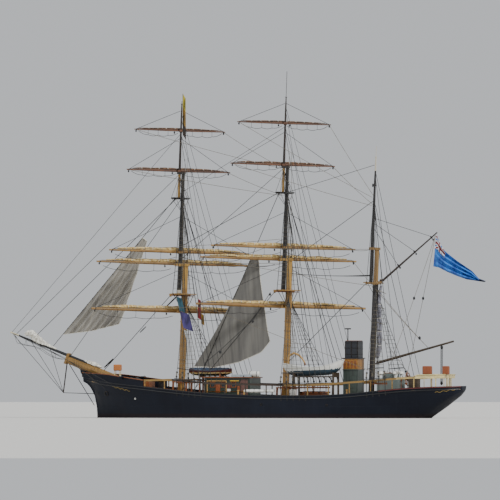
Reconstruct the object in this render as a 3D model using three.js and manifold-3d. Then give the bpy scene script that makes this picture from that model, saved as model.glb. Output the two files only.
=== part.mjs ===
// A three-masted barque at half its real size: hull, masts, yards, main stays and deck houses.
//
// Lengths are real ones, in metres, until a solid is made: M turns them into model millimetres.
// +X runs aft, +Y to starboard, +Z up. The origin lies amidships on the centreline, in the waterline.
import * as THREE from 'three';
import { mergeVertices } from 'three/addons/utils/BufferGeometryUtils.js';
import Module from 'manifold-3d';

const wasm = await Module();
wasm.setup();

const MODEL_SCALE = 1 / 2;
const M = 1000 * MODEL_SCALE;

// Play between a fixed piece and its seat, and between a turning piece and its pin.
const GAP = 0.3 / M;
const PIN_PLAY = 2 / M;
const DOOR_PLAY = 6 / M;

// Hull stations.
// x: from amidships. keel: lowest point. mid: height where the topsides begin. rim: top of the side.
// yMid and yRim: half-breadths at mid and rim. full and hollow: bend of the bottom. flare: of the side.
const STATION_COLUMNS = ['x', 'keel', 'mid', 'rim', 'yMid', 'yRim', 'full', 'hollow', 'flare'];
const STATION_ROWS = [
  [-18.45, 3.50, 3.65, 4.02, 0.15, 0.24, 1.0, 1.0, 1.0],
  [-17.90, 3.15, 3.35, 3.92, 0.18, 0.62, 1.0, 1.0, 1.0],
  [-17.30, 2.20, 2.70, 3.80, 0.22, 1.02, 1.0, 1.0, 1.0],
  [-16.90, 0.20, 1.20, 3.72, 0.20, 1.30, 1.0, 1.0, 1.3],
  [-16.40, -2.20, 0.00, 3.62, 0.32, 1.62, 1.2, 1.0, 1.4],
  [-15.20, -3.00, 0.00, 3.45, 0.95, 2.25, 1.3, 1.0, 1.3],
  [-13.40, -3.20, 0.00, 3.26, 1.80, 2.88, 1.5, 0.95, 1.2],
  [-11.08, -3.25, 0.00, 3.04, 2.62, 3.36, 1.8, 0.9, 1.1],
  [-8.00, -3.30, 0.00, 2.72, 3.30, 3.66, 2.3, 0.85, 1.0],
  [-4.30, -3.33, 0.00, 2.40, 3.66, 3.79, 2.8, 0.8, 1.0],
  [0.00, -3.35, 0.00, 2.22, 3.75, 3.80, 3.2, 0.75, 1.0],
  [3.50, -3.37, 0.00, 2.18, 3.74, 3.79, 3.1, 0.76, 1.0],
  [7.00, -3.32, 0.00, 2.20, 3.58, 3.74, 2.6, 0.85, 1.0],
  [10.00, -3.00, 0.00, 2.36, 3.15, 3.58, 2.0, 1.0, 1.0],
  [12.60, -2.30, 0.00, 2.62, 2.50, 3.32, 1.6, 1.2, 1.0],
  [14.80, -1.30, 0.00, 2.84, 1.60, 2.98, 1.4, 1.3, 0.9],
  [16.20, -0.75, 0.00, 2.93, 0.85, 2.68, 1.2, 1.2, 0.8],
  [17.20, 0.05, 0.50, 2.98, 0.90, 2.42, 1.0, 1.0, 0.75],
  [18.60, 1.00, 1.50, 3.03, 1.30, 1.98, 1.0, 0.7, 0.75],
  [19.60, 1.75, 2.10, 3.06, 1.15, 1.55, 1.0, 0.7, 0.8],
  [20.20, 2.20, 2.50, 3.08, 0.85, 1.08, 1.0, 0.7, 0.9],
  [20.50, 2.55, 2.75, 3.08, 0.50, 0.62, 1.0, 0.8, 1.0],
];
const station = (row) => Object.fromEntries(STATION_COLUMNS.map((name, i) => [name, row[i]]));
const STATIONS = STATION_ROWS.map(station);

// Depths below mid, as shares of the bottom's depth, and heights above it, as shares of the side's.
const BOTTOM_SHARES = [1, 0.97, 0.88, 0.7, 0.4, 0];
const SIDE_SHARES = [1 / 3, 2 / 3, 1];
const KEEL_HALF_WIDTH = 0.12;
const RIM_WIDTH = 0.12;
const DECK_DROP = 0.25;
const DECK_THICKNESS = 0.08;

// Keel, stem and stern frame, as one profile seen from the side: x and z.
const KEEL_DEPTH = -3.66;
const SOLE_TOP = -3.42;
const PROPELLER_POST_X = 14.75;
const BACKBONE = [
  [-18.8, 4.7], [-18.72, 4.33], [-17.9, 3.23], [-17.25, 2.15], [-17.05, 1.0], [-17.0, 0], [-16.9, -1.2],
  [-16.55, -2.3], [-15.8, -3.1], [-14.6, -3.5], [-12, KEEL_DEPTH], [16.2, KEEL_DEPTH], [16.2, SOLE_TOP],
  [PROPELLER_POST_X, SOLE_TOP], [PROPELLER_POST_X, -1.2], [15.6, -1.1], [15.7, -0.6], [14, -0.6],
  [12, -1.6], [9, -2.6], [-13, -2.6], [-15.3, -1.4], [-16.2, 1.5], [-17.35, 3.3], [-17.9, 3.8], [-17.95, 4.7],
];

// The bow's solid bulwark and the open rail abaft it.
const BULWARK_END_X = -11.08;
const BULWARK_TOPS = [[-18.5, 4.36], [-17, 4.3], [-15.2, 4.19], [-13.4, 3.95], [BULWARK_END_X, 3.64]];
const RAIL_TOPS = [
  [-11, 3.66], [-8, 3.73], [-4.5, 3.4], [3.5, 3.2], [7.2, 3.28], [11.5, 3.56], [15, 3.88], [16.4, 3.94],
  [16.6, 4.14], [20.5, 4.18],
];
const RAIL_HEIGHTS = [[16.4, 0.14], [16.6, 0.34]];
const RAIL = { width: 0.15, inset: 0.06, post: 0.09, pitch: 2.1, endX: 18.95, cornerX: 18.8 };

// Masts. footX: where the axis meets the deck. rake: degrees aft. Heights are above the waterline.
// lowerR, topR and poleR: radii of the lower mast, topmast and pole. top: platform. cap: lower masthead.
const DECK_AT_MASTS = 2.5;
const FORE = {
  footX: -8.38, rake: 2, lowerR: 0.32, topR: 0.2, poleR: 0.125, top: 11.9, cap: 14.9, crosstrees: 21.2,
  head: 23.69, truck: 30.3, spike: 0.25,
};
const MAIN = {
  footX: 2.3, rake: 2, lowerR: 0.32, topR: 0.2, poleR: 0.125, top: 12.25, cap: 15.4, crosstrees: 21.7,
  head: 24.24, truck: 30.9, spike: 2.45,
};
const MIZZEN = {
  footX: 11.05, rake: 2.5, lowerR: 0.28, topR: 0.17, top: 12.95, cap: 16.4, truck: 25.1, spike: 1.0,
};
const TOPMAST_X = -0.56;
const POLE_X = -0.93;
const MIZZEN_TOPMAST_X = -0.5;

// Yards. z: height. length, r: real length and middle radius. hold: truss on the mast, crane on the cap,
// or parrel round a spar.
const YARD_COLUMNS = ['name', 'z', 'length', 'r', 'hold'];
const YARD_TABLE = {
  fore: [
    ['course_yard', 10.3, 17.4, 0.2, 'truss'],
    ['lower_topsail_yard', 14.85, 15.9, 0.155, 'crane'],
    ['upper_topsail_yard', 16.0, 14.3, 0.15, 'parrel'],
    ['topgallant_yard', 23.801, 10.6, 0.115, 'parrel'],
    ['royal_yard', 27.7, 9.3, 0.095, 'parrel'],
  ],
  main: [
    ['course_yard', 10.75, 17.4, 0.2, 'truss'],
    ['lower_topsail_yard', 15.25, 16.0, 0.155, 'crane'],
    ['upper_topsail_yard', 16.4, 14.8, 0.15, 'parrel'],
    ['topgallant_yard', 24.351, 10.7, 0.115, 'parrel'],
    ['royal_yard', 28.35, 9.6, 0.095, 'parrel'],
  ],
};
const BRACED = -50;
const TRUSS = { pivotX: -0.6, reach: 0.45 };
const CRANE = { pivotX: -1.04, reach: 0.36 };
const PIN_R = 0.06;
const EYE_R = 0.12;
const EYE_HEIGHT = 0.16;
const COLLAR = { wall: 0.05, height: 0.22, play: 0.012 };

// The bowsprit points forward and up; u is the distance along it from its heel.
const BOWSPRIT = { heelX: -15.0, heelZ: 3.68, steeve: 20.8, length: 5.5, heelR: 0.41, capR: 0.36 };
const JIBBOOM = { u0: 3.5, u1: 11.95, r: 0.145, tipR: 0.07, lift: 0.39 };
const STRIKER = { u: 5.42, back: 0.67, drop: 3.15, r: 0.06 };

// Gaff and boom turn on pins abaft the mizzen mast.
const GAFF = { z: 13.25, pinX: 0.5, length: 7.35, rise: 41.2, r: 0.11, tipR: 0.06 };
const BOOM = { z: 5.4, pinX: 0.52, length: 8.0, rise: 17, r: 0.14, tipR: 0.09 };

const STAY_R = 0.03;
const SHROUD_R = 0.025;
const HOUND_STEP = 0.13;

// Shrouds. mast, hounds: height of the upper ends. first: of the lower ends, abaft the mast's foot.
const SHROUDS = [
  { name: 'fore', mast: FORE, hounds: 11.65, first: 0.9, pitch: 0.62, count: 5 },
  { name: 'main', mast: MAIN, hounds: 12.0, first: 0.9, pitch: 0.62, count: 5 },
  { name: 'mizzen', mast: MIZZEN, hounds: 12.75, first: 0.75, pitch: 0.6, count: 4 },
];
const CHANNEL = { out: 0.16, lift: 0.16, width: 0.16, thickness: 0.07, drop: 0.55 };

// Deck houses: x and y of the outer walls, roof height, wall thickness.
const FORWARD_HOUSE = { x0: -5.4, x1: -0.8, half: 1.55, roof: 3.86, wall: 0.1, overhang: 0.14, slab: 0.09 };
const CHARTHOUSE = { x0: 8.5, x1: 10.0, half: 0.9, roof: 5.7, wall: 0.1, overhang: 0.1, slab: 0.09 };
const FLAG_LOCKER = { x0: 8.62, x1: 9.95, half: 0.72, top: 7.4 };
const WALL_FOOT = 1.5;

const COLOURS = {
  hull: 0x1c222c, deck: 0xa98d63, rail: 0xc9a24a, buff: 0xc08a2e, black: 0x17181b, yard: 0xb98b3e,
  thinYard: 0x5c3d26, wire: 0x1b1b1d, canvas: 0xb7b3a6, green: 0x24402f, wood: 0x9a5a24, white: 0xe6e4dc,
  steel: 0x6d7478, bronze: 0x8a6a35, blue: 0x2f6fb5, cover: 0x7c8a96,
};

// Materials and solids

const material = (colour, roughness = 0.6, metalness = 0) =>
  new THREE.MeshStandardMaterial({ color: colour, roughness, metalness });

/** A closed geometry as a solid. */
function solid(geometry) {
  const bare = geometry.index ? geometry.toNonIndexed() : geometry.clone();
  bare.deleteAttribute('normal');
  bare.deleteAttribute('uv');
  const merged = mergeVertices(bare, 1e-4);
  return new wasm.Manifold(new wasm.Mesh({
    numProp: 3,
    vertProperties: new Float32Array(merged.attributes.position.array),
    triVerts: new Uint32Array(merged.index.array),
  }));
}

const join = (...solids) => solids.flat().reduce((sum, next) => sum.add(next));
const cut = (body, ...tools) => tools.flat().reduce((rest, tool) => rest.subtract(tool), body);

/** A geometry in real metres as a solid in model millimetres. */
const scaled = (geometry) => solid(geometry.scale(M, M, M));

const box = (x0, x1, y0, y1, z0, z1) => scaled(new THREE.BoxGeometry(x1 - x0, y1 - y0, z1 - z0)
  .translate((x0 + x1) / 2, (y0 + y1) / 2, (z0 + z1) / 2));

/** A box between two y values given in either order. */
const sideBox = (x0, x1, y0, y1, z0, z1) => box(x0, x1, Math.min(y0, y1), Math.max(y0, y1), z0, z1);

const vec = (x, y, z) => new THREE.Vector3(x, y, z);

/** A round bar from a to b. */
function rod(a, b, r0, r1 = r0, sides = 8) {
  const along = new THREE.Vector3().subVectors(b, a);
  const geometry = new THREE.CylinderGeometry(r1, r0, along.length(), sides);
  const turn = new THREE.Quaternion().setFromUnitVectors(vec(0, 1, 0), along.clone().normalize());
  geometry.applyQuaternion(turn).translate((a.x + b.x) / 2, (a.y + b.y) / 2, (a.z + b.z) / 2);
  return scaled(geometry);
}

/** An upright turned shape; the profile lists radius and height, and starts and ends on the axis. */
function turned(profile, sides = 12, x = 0, y = 0) {
  const points = profile.map(([r, z]) => new THREE.Vector2(r, z));
  const geometry = new THREE.LatheGeometry(points, sides).rotateX(Math.PI / 2).translate(x, y, 0);
  return scaled(geometry);
}

const post = (x, y, z0, z1, r, sides = 12) => turned([[0, z0], [r, z0], [r, z1], [0, z1]], sides, x, y);

/** The radius whose polygon lies play outside a round of radius r. */
const around = (r, play, sides = 12) => (r + play) / Math.cos(Math.PI / sides);

/** A flat plate: an outline in x and z, with its thickness along y. */
function sidePlate(outline, y0, y1) {
  const shape = new THREE.Shape(outline.map(([x, z]) => new THREE.Vector2(x, z)));
  const geometry = new THREE.ExtrudeGeometry(shape, { depth: y1 - y0, bevelEnabled: false });
  return scaled(geometry.rotateX(Math.PI / 2).translate(0, y1, 0));
}

/** A flat plate: an outline in x and y, with its thickness along z. */
function deckPlate(outline, z0, z1) {
  const shape = new THREE.Shape(outline.map(([x, y]) => new THREE.Vector2(x, y)));
  const geometry = new THREE.ExtrudeGeometry(shape, { depth: z1 - z0, bevelEnabled: false });
  return scaled(geometry.translate(0, 0, z0));
}

/** A closed skin over sections with the same number of points, each [x, y, z], its ends closed flat. */
function loftGeometry(sections) {
  const positions = sections.flat(2);
  const count = sections[0].length;
  const index = [];
  for (let s = 0; s + 1 < sections.length; s += 1) {
    for (let i = 0; i < count; i += 1) {
      const a = s * count + i;
      const b = s * count + (i + 1) % count;
      index.push(a, b, b + count, a, b + count, a + count);
    }
  }
  const flat = (section) => section.map(([, y, z]) => new THREE.Vector2(y, z));
  const capFaces = (section) => THREE.ShapeUtils.triangulateShape(flat(section), []);
  const last = (sections.length - 1) * count;
  capFaces(sections[0]).forEach(([a, b, c]) => index.push(a, c, b));
  capFaces(sections[sections.length - 1]).forEach(([a, b, c]) => index.push(last + a, last + b, last + c));
  const geometry = new THREE.BufferGeometry();
  geometry.setAttribute('position', new THREE.Float32BufferAttribute(positions, 3));
  geometry.setIndex(index);
  return geometry.scale(M, M, M);
}

const loft = (sections) => solid(loftGeometry(sections));

/** Straight-line values between the rows of a table of [place, value]. */
function between(table, x) {
  const last = table.length - 1;
  if (x <= table[0][0]) return table[0][1];
  if (x >= table[last][0]) return table[last][1];
  const i = table.findIndex(([place]) => place > x);
  const [x0, v0] = table[i - 1];
  const [x1, v1] = table[i];
  return v0 + (v1 - v0) * (x - x0) / (x1 - x0);
}

const rimHeight = (x) => between(STATIONS.map((s) => [s.x, s.rim]), x);
const rimBreadth = (x) => between(STATIONS.map((s) => [s.x, s.yRim]), x);

/** The half-breadths of a station from keel to rim, each with its height. */
function halfSection(station, grow = 0) {
  const bottom = BOTTOM_SHARES.map((share) => [
    KEEL_HALF_WIDTH + (station.yMid - KEEL_HALF_WIDTH) * (1 - share ** station.full) ** station.hollow + grow,
    station.mid - share * (station.mid - station.keel),
  ]);
  const side = SIDE_SHARES.map((share) => [
    station.yMid + (station.yRim - station.yMid) * share ** station.flare + grow,
    station.mid + share * (station.rim - station.mid),
  ]);
  return [...bottom, ...side];
}

/** Both halves of an outline of [y, z] points at x, as one closed section. */
const mirrored = (x, half) => [
  ...half.map(([y, z]) => [x, y, z]),
  ...[...half].reverse().map(([y, z]) => [x, -y, z]),
];

/** A wall along a path of { x, y, bottom, top }, upright and of one thickness. */
function wall(path, thickness) {
  const sections = path.map((point, i) => {
    const from = path[Math.max(i - 1, 0)];
    const to = path[Math.min(i + 1, path.length - 1)];
    const length = Math.hypot(to.x - from.x, to.y - from.y);
    const nx = -(to.y - from.y) / length * thickness / 2;
    const ny = (to.x - from.x) / length * thickness / 2;
    return [
      [point.x - nx, point.y - ny, point.bottom], [point.x + nx, point.y + ny, point.bottom],
      [point.x + nx, point.y + ny, point.top], [point.x - nx, point.y - ny, point.top],
    ];
  });
  const positions = sections.flat(2);
  const index = [];
  for (let s = 0; s + 1 < sections.length; s += 1) {
    for (let i = 0; i < 4; i += 1) {
      const a = s * 4 + i;
      const b = s * 4 + (i + 1) % 4;
      index.push(a, b, b + 4, a, b + 4, a + 4);
    }
  }
  const last = (sections.length - 1) * 4;
  index.push(0, 2, 1, 0, 3, 2, last, last + 1, last + 2, last, last + 2, last + 3);
  const geometry = new THREE.BufferGeometry();
  geometry.setAttribute('position', new THREE.Float32BufferAttribute(positions, 3));
  geometry.setIndex(index);
  return scaled(geometry);
}

const group = new THREE.Group();
group.name = 'barque';

/** Adds a solid to the ship, or to one of its groups, as a named mesh. */
function add(name, body, look, parent = group) {
  const data = body.getMesh();
  const geometry = new THREE.BufferGeometry();
  geometry.setAttribute('position', new THREE.BufferAttribute(new Float32Array(data.vertProperties), 3));
  geometry.setIndex(new THREE.BufferAttribute(new Uint32Array(data.triVerts), 1));
  geometry.computeVertexNormals();
  const mesh = new THREE.Mesh(geometry, look);
  mesh.name = name;
  parent.add(mesh);
  return mesh;
}

/** A solid of one group's frame, moved to the frame of another. */
function moved(body, from, to) {
  const matrix = new THREE.Matrix4().copy(to.matrixWorld).invert().multiply(from.matrixWorld);
  const data = body.getMesh();
  const geometry = new THREE.BufferGeometry();
  geometry.setAttribute('position', new THREE.BufferAttribute(new Float32Array(data.vertProperties), 3));
  geometry.setIndex(new THREE.BufferAttribute(new Uint32Array(data.triVerts), 1));
  return solid(geometry.applyMatrix4(matrix));
}

/** A group placed in its parent's frame; x, y and z are real metres. */
function frame(x, y, z, parent = group) {
  const child = new THREE.Group();
  child.position.set(x * M, y * M, z * M);
  parent.add(child);
  return child;
}

// The bowsprit's frame and outlines, which shape the bow too

const spritFrame = frame(BOWSPRIT.heelX, 0, BOWSPRIT.heelZ);
spritFrame.rotation.y = THREE.MathUtils.degToRad(BOWSPRIT.steeve - 90);
group.updateMatrixWorld(true);

const closed = (profile) => [[0, profile[0][1]], ...profile, [0, profile.at(-1)[1]]];
const spar = (profile, sides, x, y) => turned(closed(profile), sides, x, y);
const bowspritSpar = (grow = 0) => spar([
  [BOWSPRIT.heelR + grow, -0.2], [BOWSPRIT.heelR + grow, 2.2], [BOWSPRIT.capR + grow, BOWSPRIT.length],
], 12);
const jibboomSpar = (grow = 0) => spar([
  [JIBBOOM.r + grow, JIBBOOM.u0], [JIBBOOM.r + grow, BOWSPRIT.length + 0.4],
  [JIBBOOM.tipR + grow, JIBBOOM.u1],
], 10, JIBBOOM.lift, 0);
const SPRIT_CAP = { under: 0.44, over: 0.62, half: 0.36, before: 0.12, behind: 0.1 };
const spritCap = box(
  -SPRIT_CAP.under, SPRIT_CAP.over, -SPRIT_CAP.half, SPRIT_CAP.half,
  BOWSPRIT.length - SPRIT_CAP.behind, BOWSPRIT.length + SPRIT_CAP.before,
);
const jibboomTool = jibboomSpar(GAP * 2);
const spritTool = moved(bowspritSpar(GAP * 2), spritFrame, group);

// Hull and deck

const TOOL_DEPTH = 9;

/** Everything from a height table down, over the whole plan: lays a piece on the deck or on the rim. */
const below = (height, margin) => loft(STATIONS.map((s) => mirrored(s.x, [
  [s.yRim + margin, height(s) - TOOL_DEPTH], [s.yRim + margin, height(s) + GAP],
])));
const deckTool = below((s) => s.rim - DECK_DROP, 1);
const rimTool = below((s) => s.rim, 1);
const hullTool = loft(STATIONS.map((s) => mirrored(s.x, halfSection(s, GAP * 2))));

// The well that the deck lies in runs from the fore peak to just inside the taffrail.
const PEAK_X = -17.3;
const TAFFRAIL_X = 20.36;
const wellStations = STATIONS.map((s) => s.x).filter((x) => x > PEAK_X && x < TAFFRAIL_X);
const WELL_PLACES = [PEAK_X, ...wellStations, TAFFRAIL_X];

/** A slab across the ship, the well's plan drawn in by inset; low and high are measured from the rim. */
const wellSlab = (inset, low, high) => loft(WELL_PLACES.map((x, i) => {
  const breadth = rimBreadth(x) - RIM_WIDTH - inset;
  const rim = rimHeight(x);
  const ends = { 0: inset, [WELL_PLACES.length - 1]: -inset };
  return mirrored(x + (ends[i] ?? 0), [[breadth, rim + low], [breadth, rim + high]]);
}));

const bulwarkSide = (side) => STATIONS.filter((s) => s.x <= BULWARK_END_X).map((s) => ({
  x: s.x, y: side * (s.yRim - RIM_WIDTH / 2), bottom: s.rim - 0.1, top: between(BULWARK_TOPS, s.x),
}));
const bowPoint = { x: -18.6, y: 0, bottom: 3.95, top: 4.36 };
const bulwark = wall([...bulwarkSide(-1).reverse(), bowPoint, ...bulwarkSide(1)], RIM_WIDTH * 0.8);

const RUDDER = { x: 15.95, stockR: 0.1, top: -0.5, blade: 1.15, bladeTop: -1.05, thickness: 0.14, swing: 35 };
const SHAFT = { z: -2.42, r: 0.09, bossR: 0.2, hub: 0.17, blade: 0.66 };
const shaftLine = (x0, x1, r, sides = 12) => rod(vec(x0, 0, SHAFT.z), vec(x1, 0, SHAFT.z), r, r, sides);

const CAT_HEAD = { x0: -13.55, x1: -13.3, inner: 2.6, outer: 3.45, z0: 3.8, z1: 4.02 };
const catHead = (side) => sideBox(
  CAT_HEAD.x0, CAT_HEAD.x1, CAT_HEAD.inner * side, CAT_HEAD.outer * side, CAT_HEAD.z0, CAT_HEAD.z1,
);

const hull = cut(
  join(
    loft(STATIONS.map((s) => mirrored(s.x, halfSection(s)))),
    sidePlate(BACKBONE, -KEEL_HALF_WIDTH, KEEL_HALF_WIDTH),
    shaftLine(13.4, PROPELLER_POST_X, SHAFT.bossR),
    post(RUDDER.x, 0, -0.9, 0.2, 0.19),
  ),
  post(RUDDER.x, 0, -1.3, RUDDER.top + 0.02, around(RUDDER.stockR, PIN_PLAY)),
  shaftLine(14.2, 15, around(SHAFT.r, PIN_PLAY / 2)),
  wellSlab(0, -DECK_DROP - DECK_THICKNESS, 2),
  spritTool,
);
add('hull', join(hull, bulwark, catHead(-1), catHead(1)), material(COLOURS.hull, 0.45));
add('deck', wellSlab(GAP, -DECK_DROP - DECK_THICKNESS + GAP, -DECK_DROP), material(COLOURS.deck, 0.8));

// Open rail, one side at a time; the two sides meet at the stern

const RAIL_START_X = BULWARK_END_X + 0.08;
const QUARTER_XS = [16.4, 16.6];
const railPlaces = [...STATIONS.map((s) => s.x), ...QUARTER_XS, RAIL_START_X, RAIL.cornerX]
  .filter((x) => x >= RAIL_START_X && x <= RAIL.cornerX)
  .sort((a, b) => a - b);
const railUnder = (x) => between(RAIL_TOPS, x) - between(RAIL_HEIGHTS, x);
const railEdge = (side) => [
  ...railPlaces.map((x) => ({ x, y: rimBreadth(x) - RAIL.inset })),
  { x: RAIL.endX, y: rimBreadth(RAIL.cornerX) - 0.35 },
  { x: RAIL.endX, y: RAIL.width / 2 + GAP },
].map(({ x, y }) => ({ x, y: side * y, bottom: railUnder(x), top: between(RAIL_TOPS, x) }));

/** Points at equal steps along the rail's plan. */
function postPlaces(edge) {
  const places = [];
  let carried = RAIL.post;
  for (let i = 0; i + 1 < edge.length; i += 1) {
    const a = edge[i];
    const b = edge[i + 1];
    const length = Math.hypot(b.x - a.x, b.y - a.y);
    while (carried < length) {
      const share = carried / length;
      places.push({ x: a.x + (b.x - a.x) * share, y: a.y + (b.y - a.y) * share });
      carried += RAIL.pitch;
    }
    carried -= length;
  }
  return places;
}

const STERN_POST_Y = 0.6;
for (const [name, side] of [['port', -1], ['starboard', 1]]) {
  const edge = railEdge(side);
  const standing = (x, y, foot) => box(
    x - RAIL.post / 2, x + RAIL.post / 2, y - RAIL.post / 2, y + RAIL.post / 2, foot, railUnder(x) + 0.05,
  );
  const alongside = edge.filter(({ x }) => x < RAIL.endX);
  const posts = postPlaces(alongside).map(({ x, y }) => standing(x, y, rimHeight(x) - 0.05));
  const sternPost = standing(RAIL.endX, side * STERN_POST_Y, rimHeight(RAIL.endX) - 2 * DECK_DROP);
  const body = join(cut(join(wall(edge, RAIL.width), posts), rimTool), cut(sternPost, deckTool));
  add(`${name}_rail`, body, material(COLOURS.rail, 0.5));
}

// Bowsprit and jibboom

const striker = rod(vec(-0.3, 0, STRIKER.u), vec(-STRIKER.drop, 0, STRIKER.u - STRIKER.back), STRIKER.r);
const BITTS = { x0: -15.25, x1: -14.9, half: 0.36, foot: 2.5, top: 4.0 };
const bitts = box(BITTS.x0, BITTS.x1, -BITTS.half, BITTS.half, BITTS.foot, BITTS.top);
const heelBitts = moved(bitts, group, spritFrame);
add('bowsprit', cut(
  join(bowspritSpar(), spritCap, striker, heelBitts),
  jibboomTool,
  moved(deckTool, group, spritFrame),
), material(COLOURS.buff, 0.5), spritFrame);
add('jibboom', jibboomSpar(), material(COLOURS.black, 0.5), spritFrame);

// Masts

/** A mast's frame: its origin on the mast's axis in the waterline, leaning aft. */
function mastFrame(mast) {
  const rake = THREE.MathUtils.degToRad(mast.rake);
  const child = frame(mast.footX - DECK_AT_MASTS * Math.tan(rake), 0, 0);
  child.rotation.y = rake;
  child.updateMatrixWorld(true);
  return child;
}
const frames = { fore: mastFrame(FORE), main: mastFrame(MAIN), mizzen: mastFrame(MIZZEN) };

/** A point of a mast's frame in the ship's frame, in real metres. */
const inShip = (child, x, y, z) => vec(x * M, y * M, z * M).applyMatrix4(child.matrixWorld).divideScalar(M);

const lowerSpar = (mast, grow = 0) => spar([
  [mast.lowerR + grow, 0.5], [mast.lowerR + grow, mast.top], [mast.lowerR * 0.82 + grow, mast.top + 0.2],
  [mast.lowerR * 0.78 + grow, mast.cap],
], 12);

/** The seat at the front of the mast on which a yard's eye turns, with its pin. */
const pivotSeat = (pivotX, z, fromX) => join(
  box(pivotX - 0.13, fromX, -0.13, 0.13, z - EYE_HEIGHT / 2 - 0.12, z - EYE_HEIGHT / 2 - GAP),
  post(pivotX, 0, z - EYE_HEIGHT / 2 - 0.06, z + EYE_HEIGHT / 2 + 0.05, PIN_R),
);

const PLATFORM = [
  [0.75, -1.3], [0.75, 1.3], [-0.6, 1.25], [-1.05, 0.75],
  [-1.2, 0.3], [-1.2, -0.3], [-1.05, -0.75], [-0.6, -1.25],
];
const STAY_POST_X = -1.42;
const stayPost = (x, z, grow = 0) => post(x, 0, z - 0.16 - grow, z + 0.16 + grow, 0.07 + grow, 10);

const named = (row) => Object.fromEntries(YARD_COLUMNS.map((key, i) => [key, row[i]]));
const yardRows = (name) => YARD_TABLE[name].map(named);

/** Two cheek bars fore and aft and two spreaders athwart, on which a spar's heel stands. */
const crosstrees = (z, x0, x1) => join(
  box(x0, x1, -0.26, -0.16, z - 0.14, z + 0.02),
  box(x0, x1, 0.16, 0.26, z - 0.14, z + 0.02),
  box(x0, x0 + 0.12, -0.95, 0.95, z - 0.05, z + 0.05),
  box(x1 - 0.12, x1, -1.1, 1.1, z - 0.05, z + 0.05),
);

function squareRiggedMast(name, mast) {
  const at = frames[name];
  const [course, lowerTopsail] = yardRows(name);
  const deckCut = moved(deckTool, group, at);
  const buff = material(COLOURS.buff, 0.5);
  const black = material(COLOURS.black, 0.5);

  // Lower mast with its top, cap, course truss and topsail crane.
  const heel = mast.top + 0.1;
  const lower = join(
    lowerSpar(mast),
    deckPlate(PLATFORM, mast.top, heel),
    box(STAY_POST_X - 0.06, 0.5, -0.3, -0.16, mast.top - 0.16, mast.top + 0.05),
    box(STAY_POST_X - 0.06, 0.5, 0.16, 0.3, mast.top - 0.16, mast.top + 0.05),
    box(STAY_POST_X - 0.06, STAY_POST_X + 0.06, -0.3, 0.3, mast.top - 0.16, mast.top + 0.05),
    stayPost(STAY_POST_X, mast.top - 0.1),
    box(CRANE.pivotX + 0.14, 0.3, -0.27, 0.27, mast.cap - 0.26, mast.cap - 0.02),
    pivotSeat(TRUSS.pivotX, course.z, 0),
    pivotSeat(CRANE.pivotX, lowerTopsail.z, CRANE.pivotX + 0.16),
    box(CRANE.pivotX + 0.14, CRANE.pivotX + 0.2, -0.13, 0.13, lowerTopsail.z - 0.2, mast.cap - 0.04),
  );
  const topmastHole = post(TOPMAST_X, 0, heel, mast.cap + 1, around(mast.topR, GAP));
  add(`${name}_lower_mast`, cut(lower, topmastHole, deckCut), buff, at);

  // Topmast with crosstrees and cap; its heel stands on the top.
  const poleHeel = mast.crosstrees + 0.05;
  const taper = [
    [mast.topR, heel + GAP], [mast.topR, mast.cap + 2], [0.165, mast.crosstrees], [0.155, mast.head],
  ];
  const topmast = join(
    spar(taper, 12, TOPMAST_X, 0),
    crosstrees(mast.crosstrees, POLE_X - 0.42, TOPMAST_X + 0.42),
    box(POLE_X - 0.42, POLE_X + 0.3, -0.2, 0.2, mast.crosstrees - 0.12, poleHeel),
    stayPost(POLE_X - 0.42, mast.crosstrees - 0.1),
    box(POLE_X - 0.2, TOPMAST_X + 0.2, -0.2, 0.2, mast.head - 0.2, mast.head),
  );
  const topsailHoop = yardRows(name)[2].z - COLLAR.height / 2 - GAP;
  const hoop = post(TOPMAST_X, 0, topsailHoop - 0.08, topsailHoop, mast.topR + 0.07);
  const poleHole = post(POLE_X, 0, poleHeel, mast.head + 1, around(mast.poleR, GAP));
  add(`${name}_topmast`, cut(join(topmast, hoop), poleHole), black, at);

  // Topgallant and royal mast in one pole, with a hoop under the royal yard and a truck.
  const royalHoop = yardRows(name)[4].z - COLLAR.height / 2 - GAP;
  const poleTaper = [
    [mast.poleR, poleHeel + GAP], [mast.poleR, mast.head + 0.3], [0.08, mast.truck - 1.2], [0.05, mast.truck],
  ];
  const pole = join(
    spar(poleTaper, 12, POLE_X, 0),
    post(POLE_X, 0, royalHoop - 0.07, royalHoop, 0.15),
    post(POLE_X, 0, mast.truck - 0.06, mast.truck, 0.11),
    post(POLE_X, 0, mast.truck - 0.1, mast.truck + mast.spike, 0.025, 8),
  );
  add(`${name}_topgallant_mast`, pole, black, at);
  return at;
}

squareRiggedMast('fore', FORE);
squareRiggedMast('main', MAIN);

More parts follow.
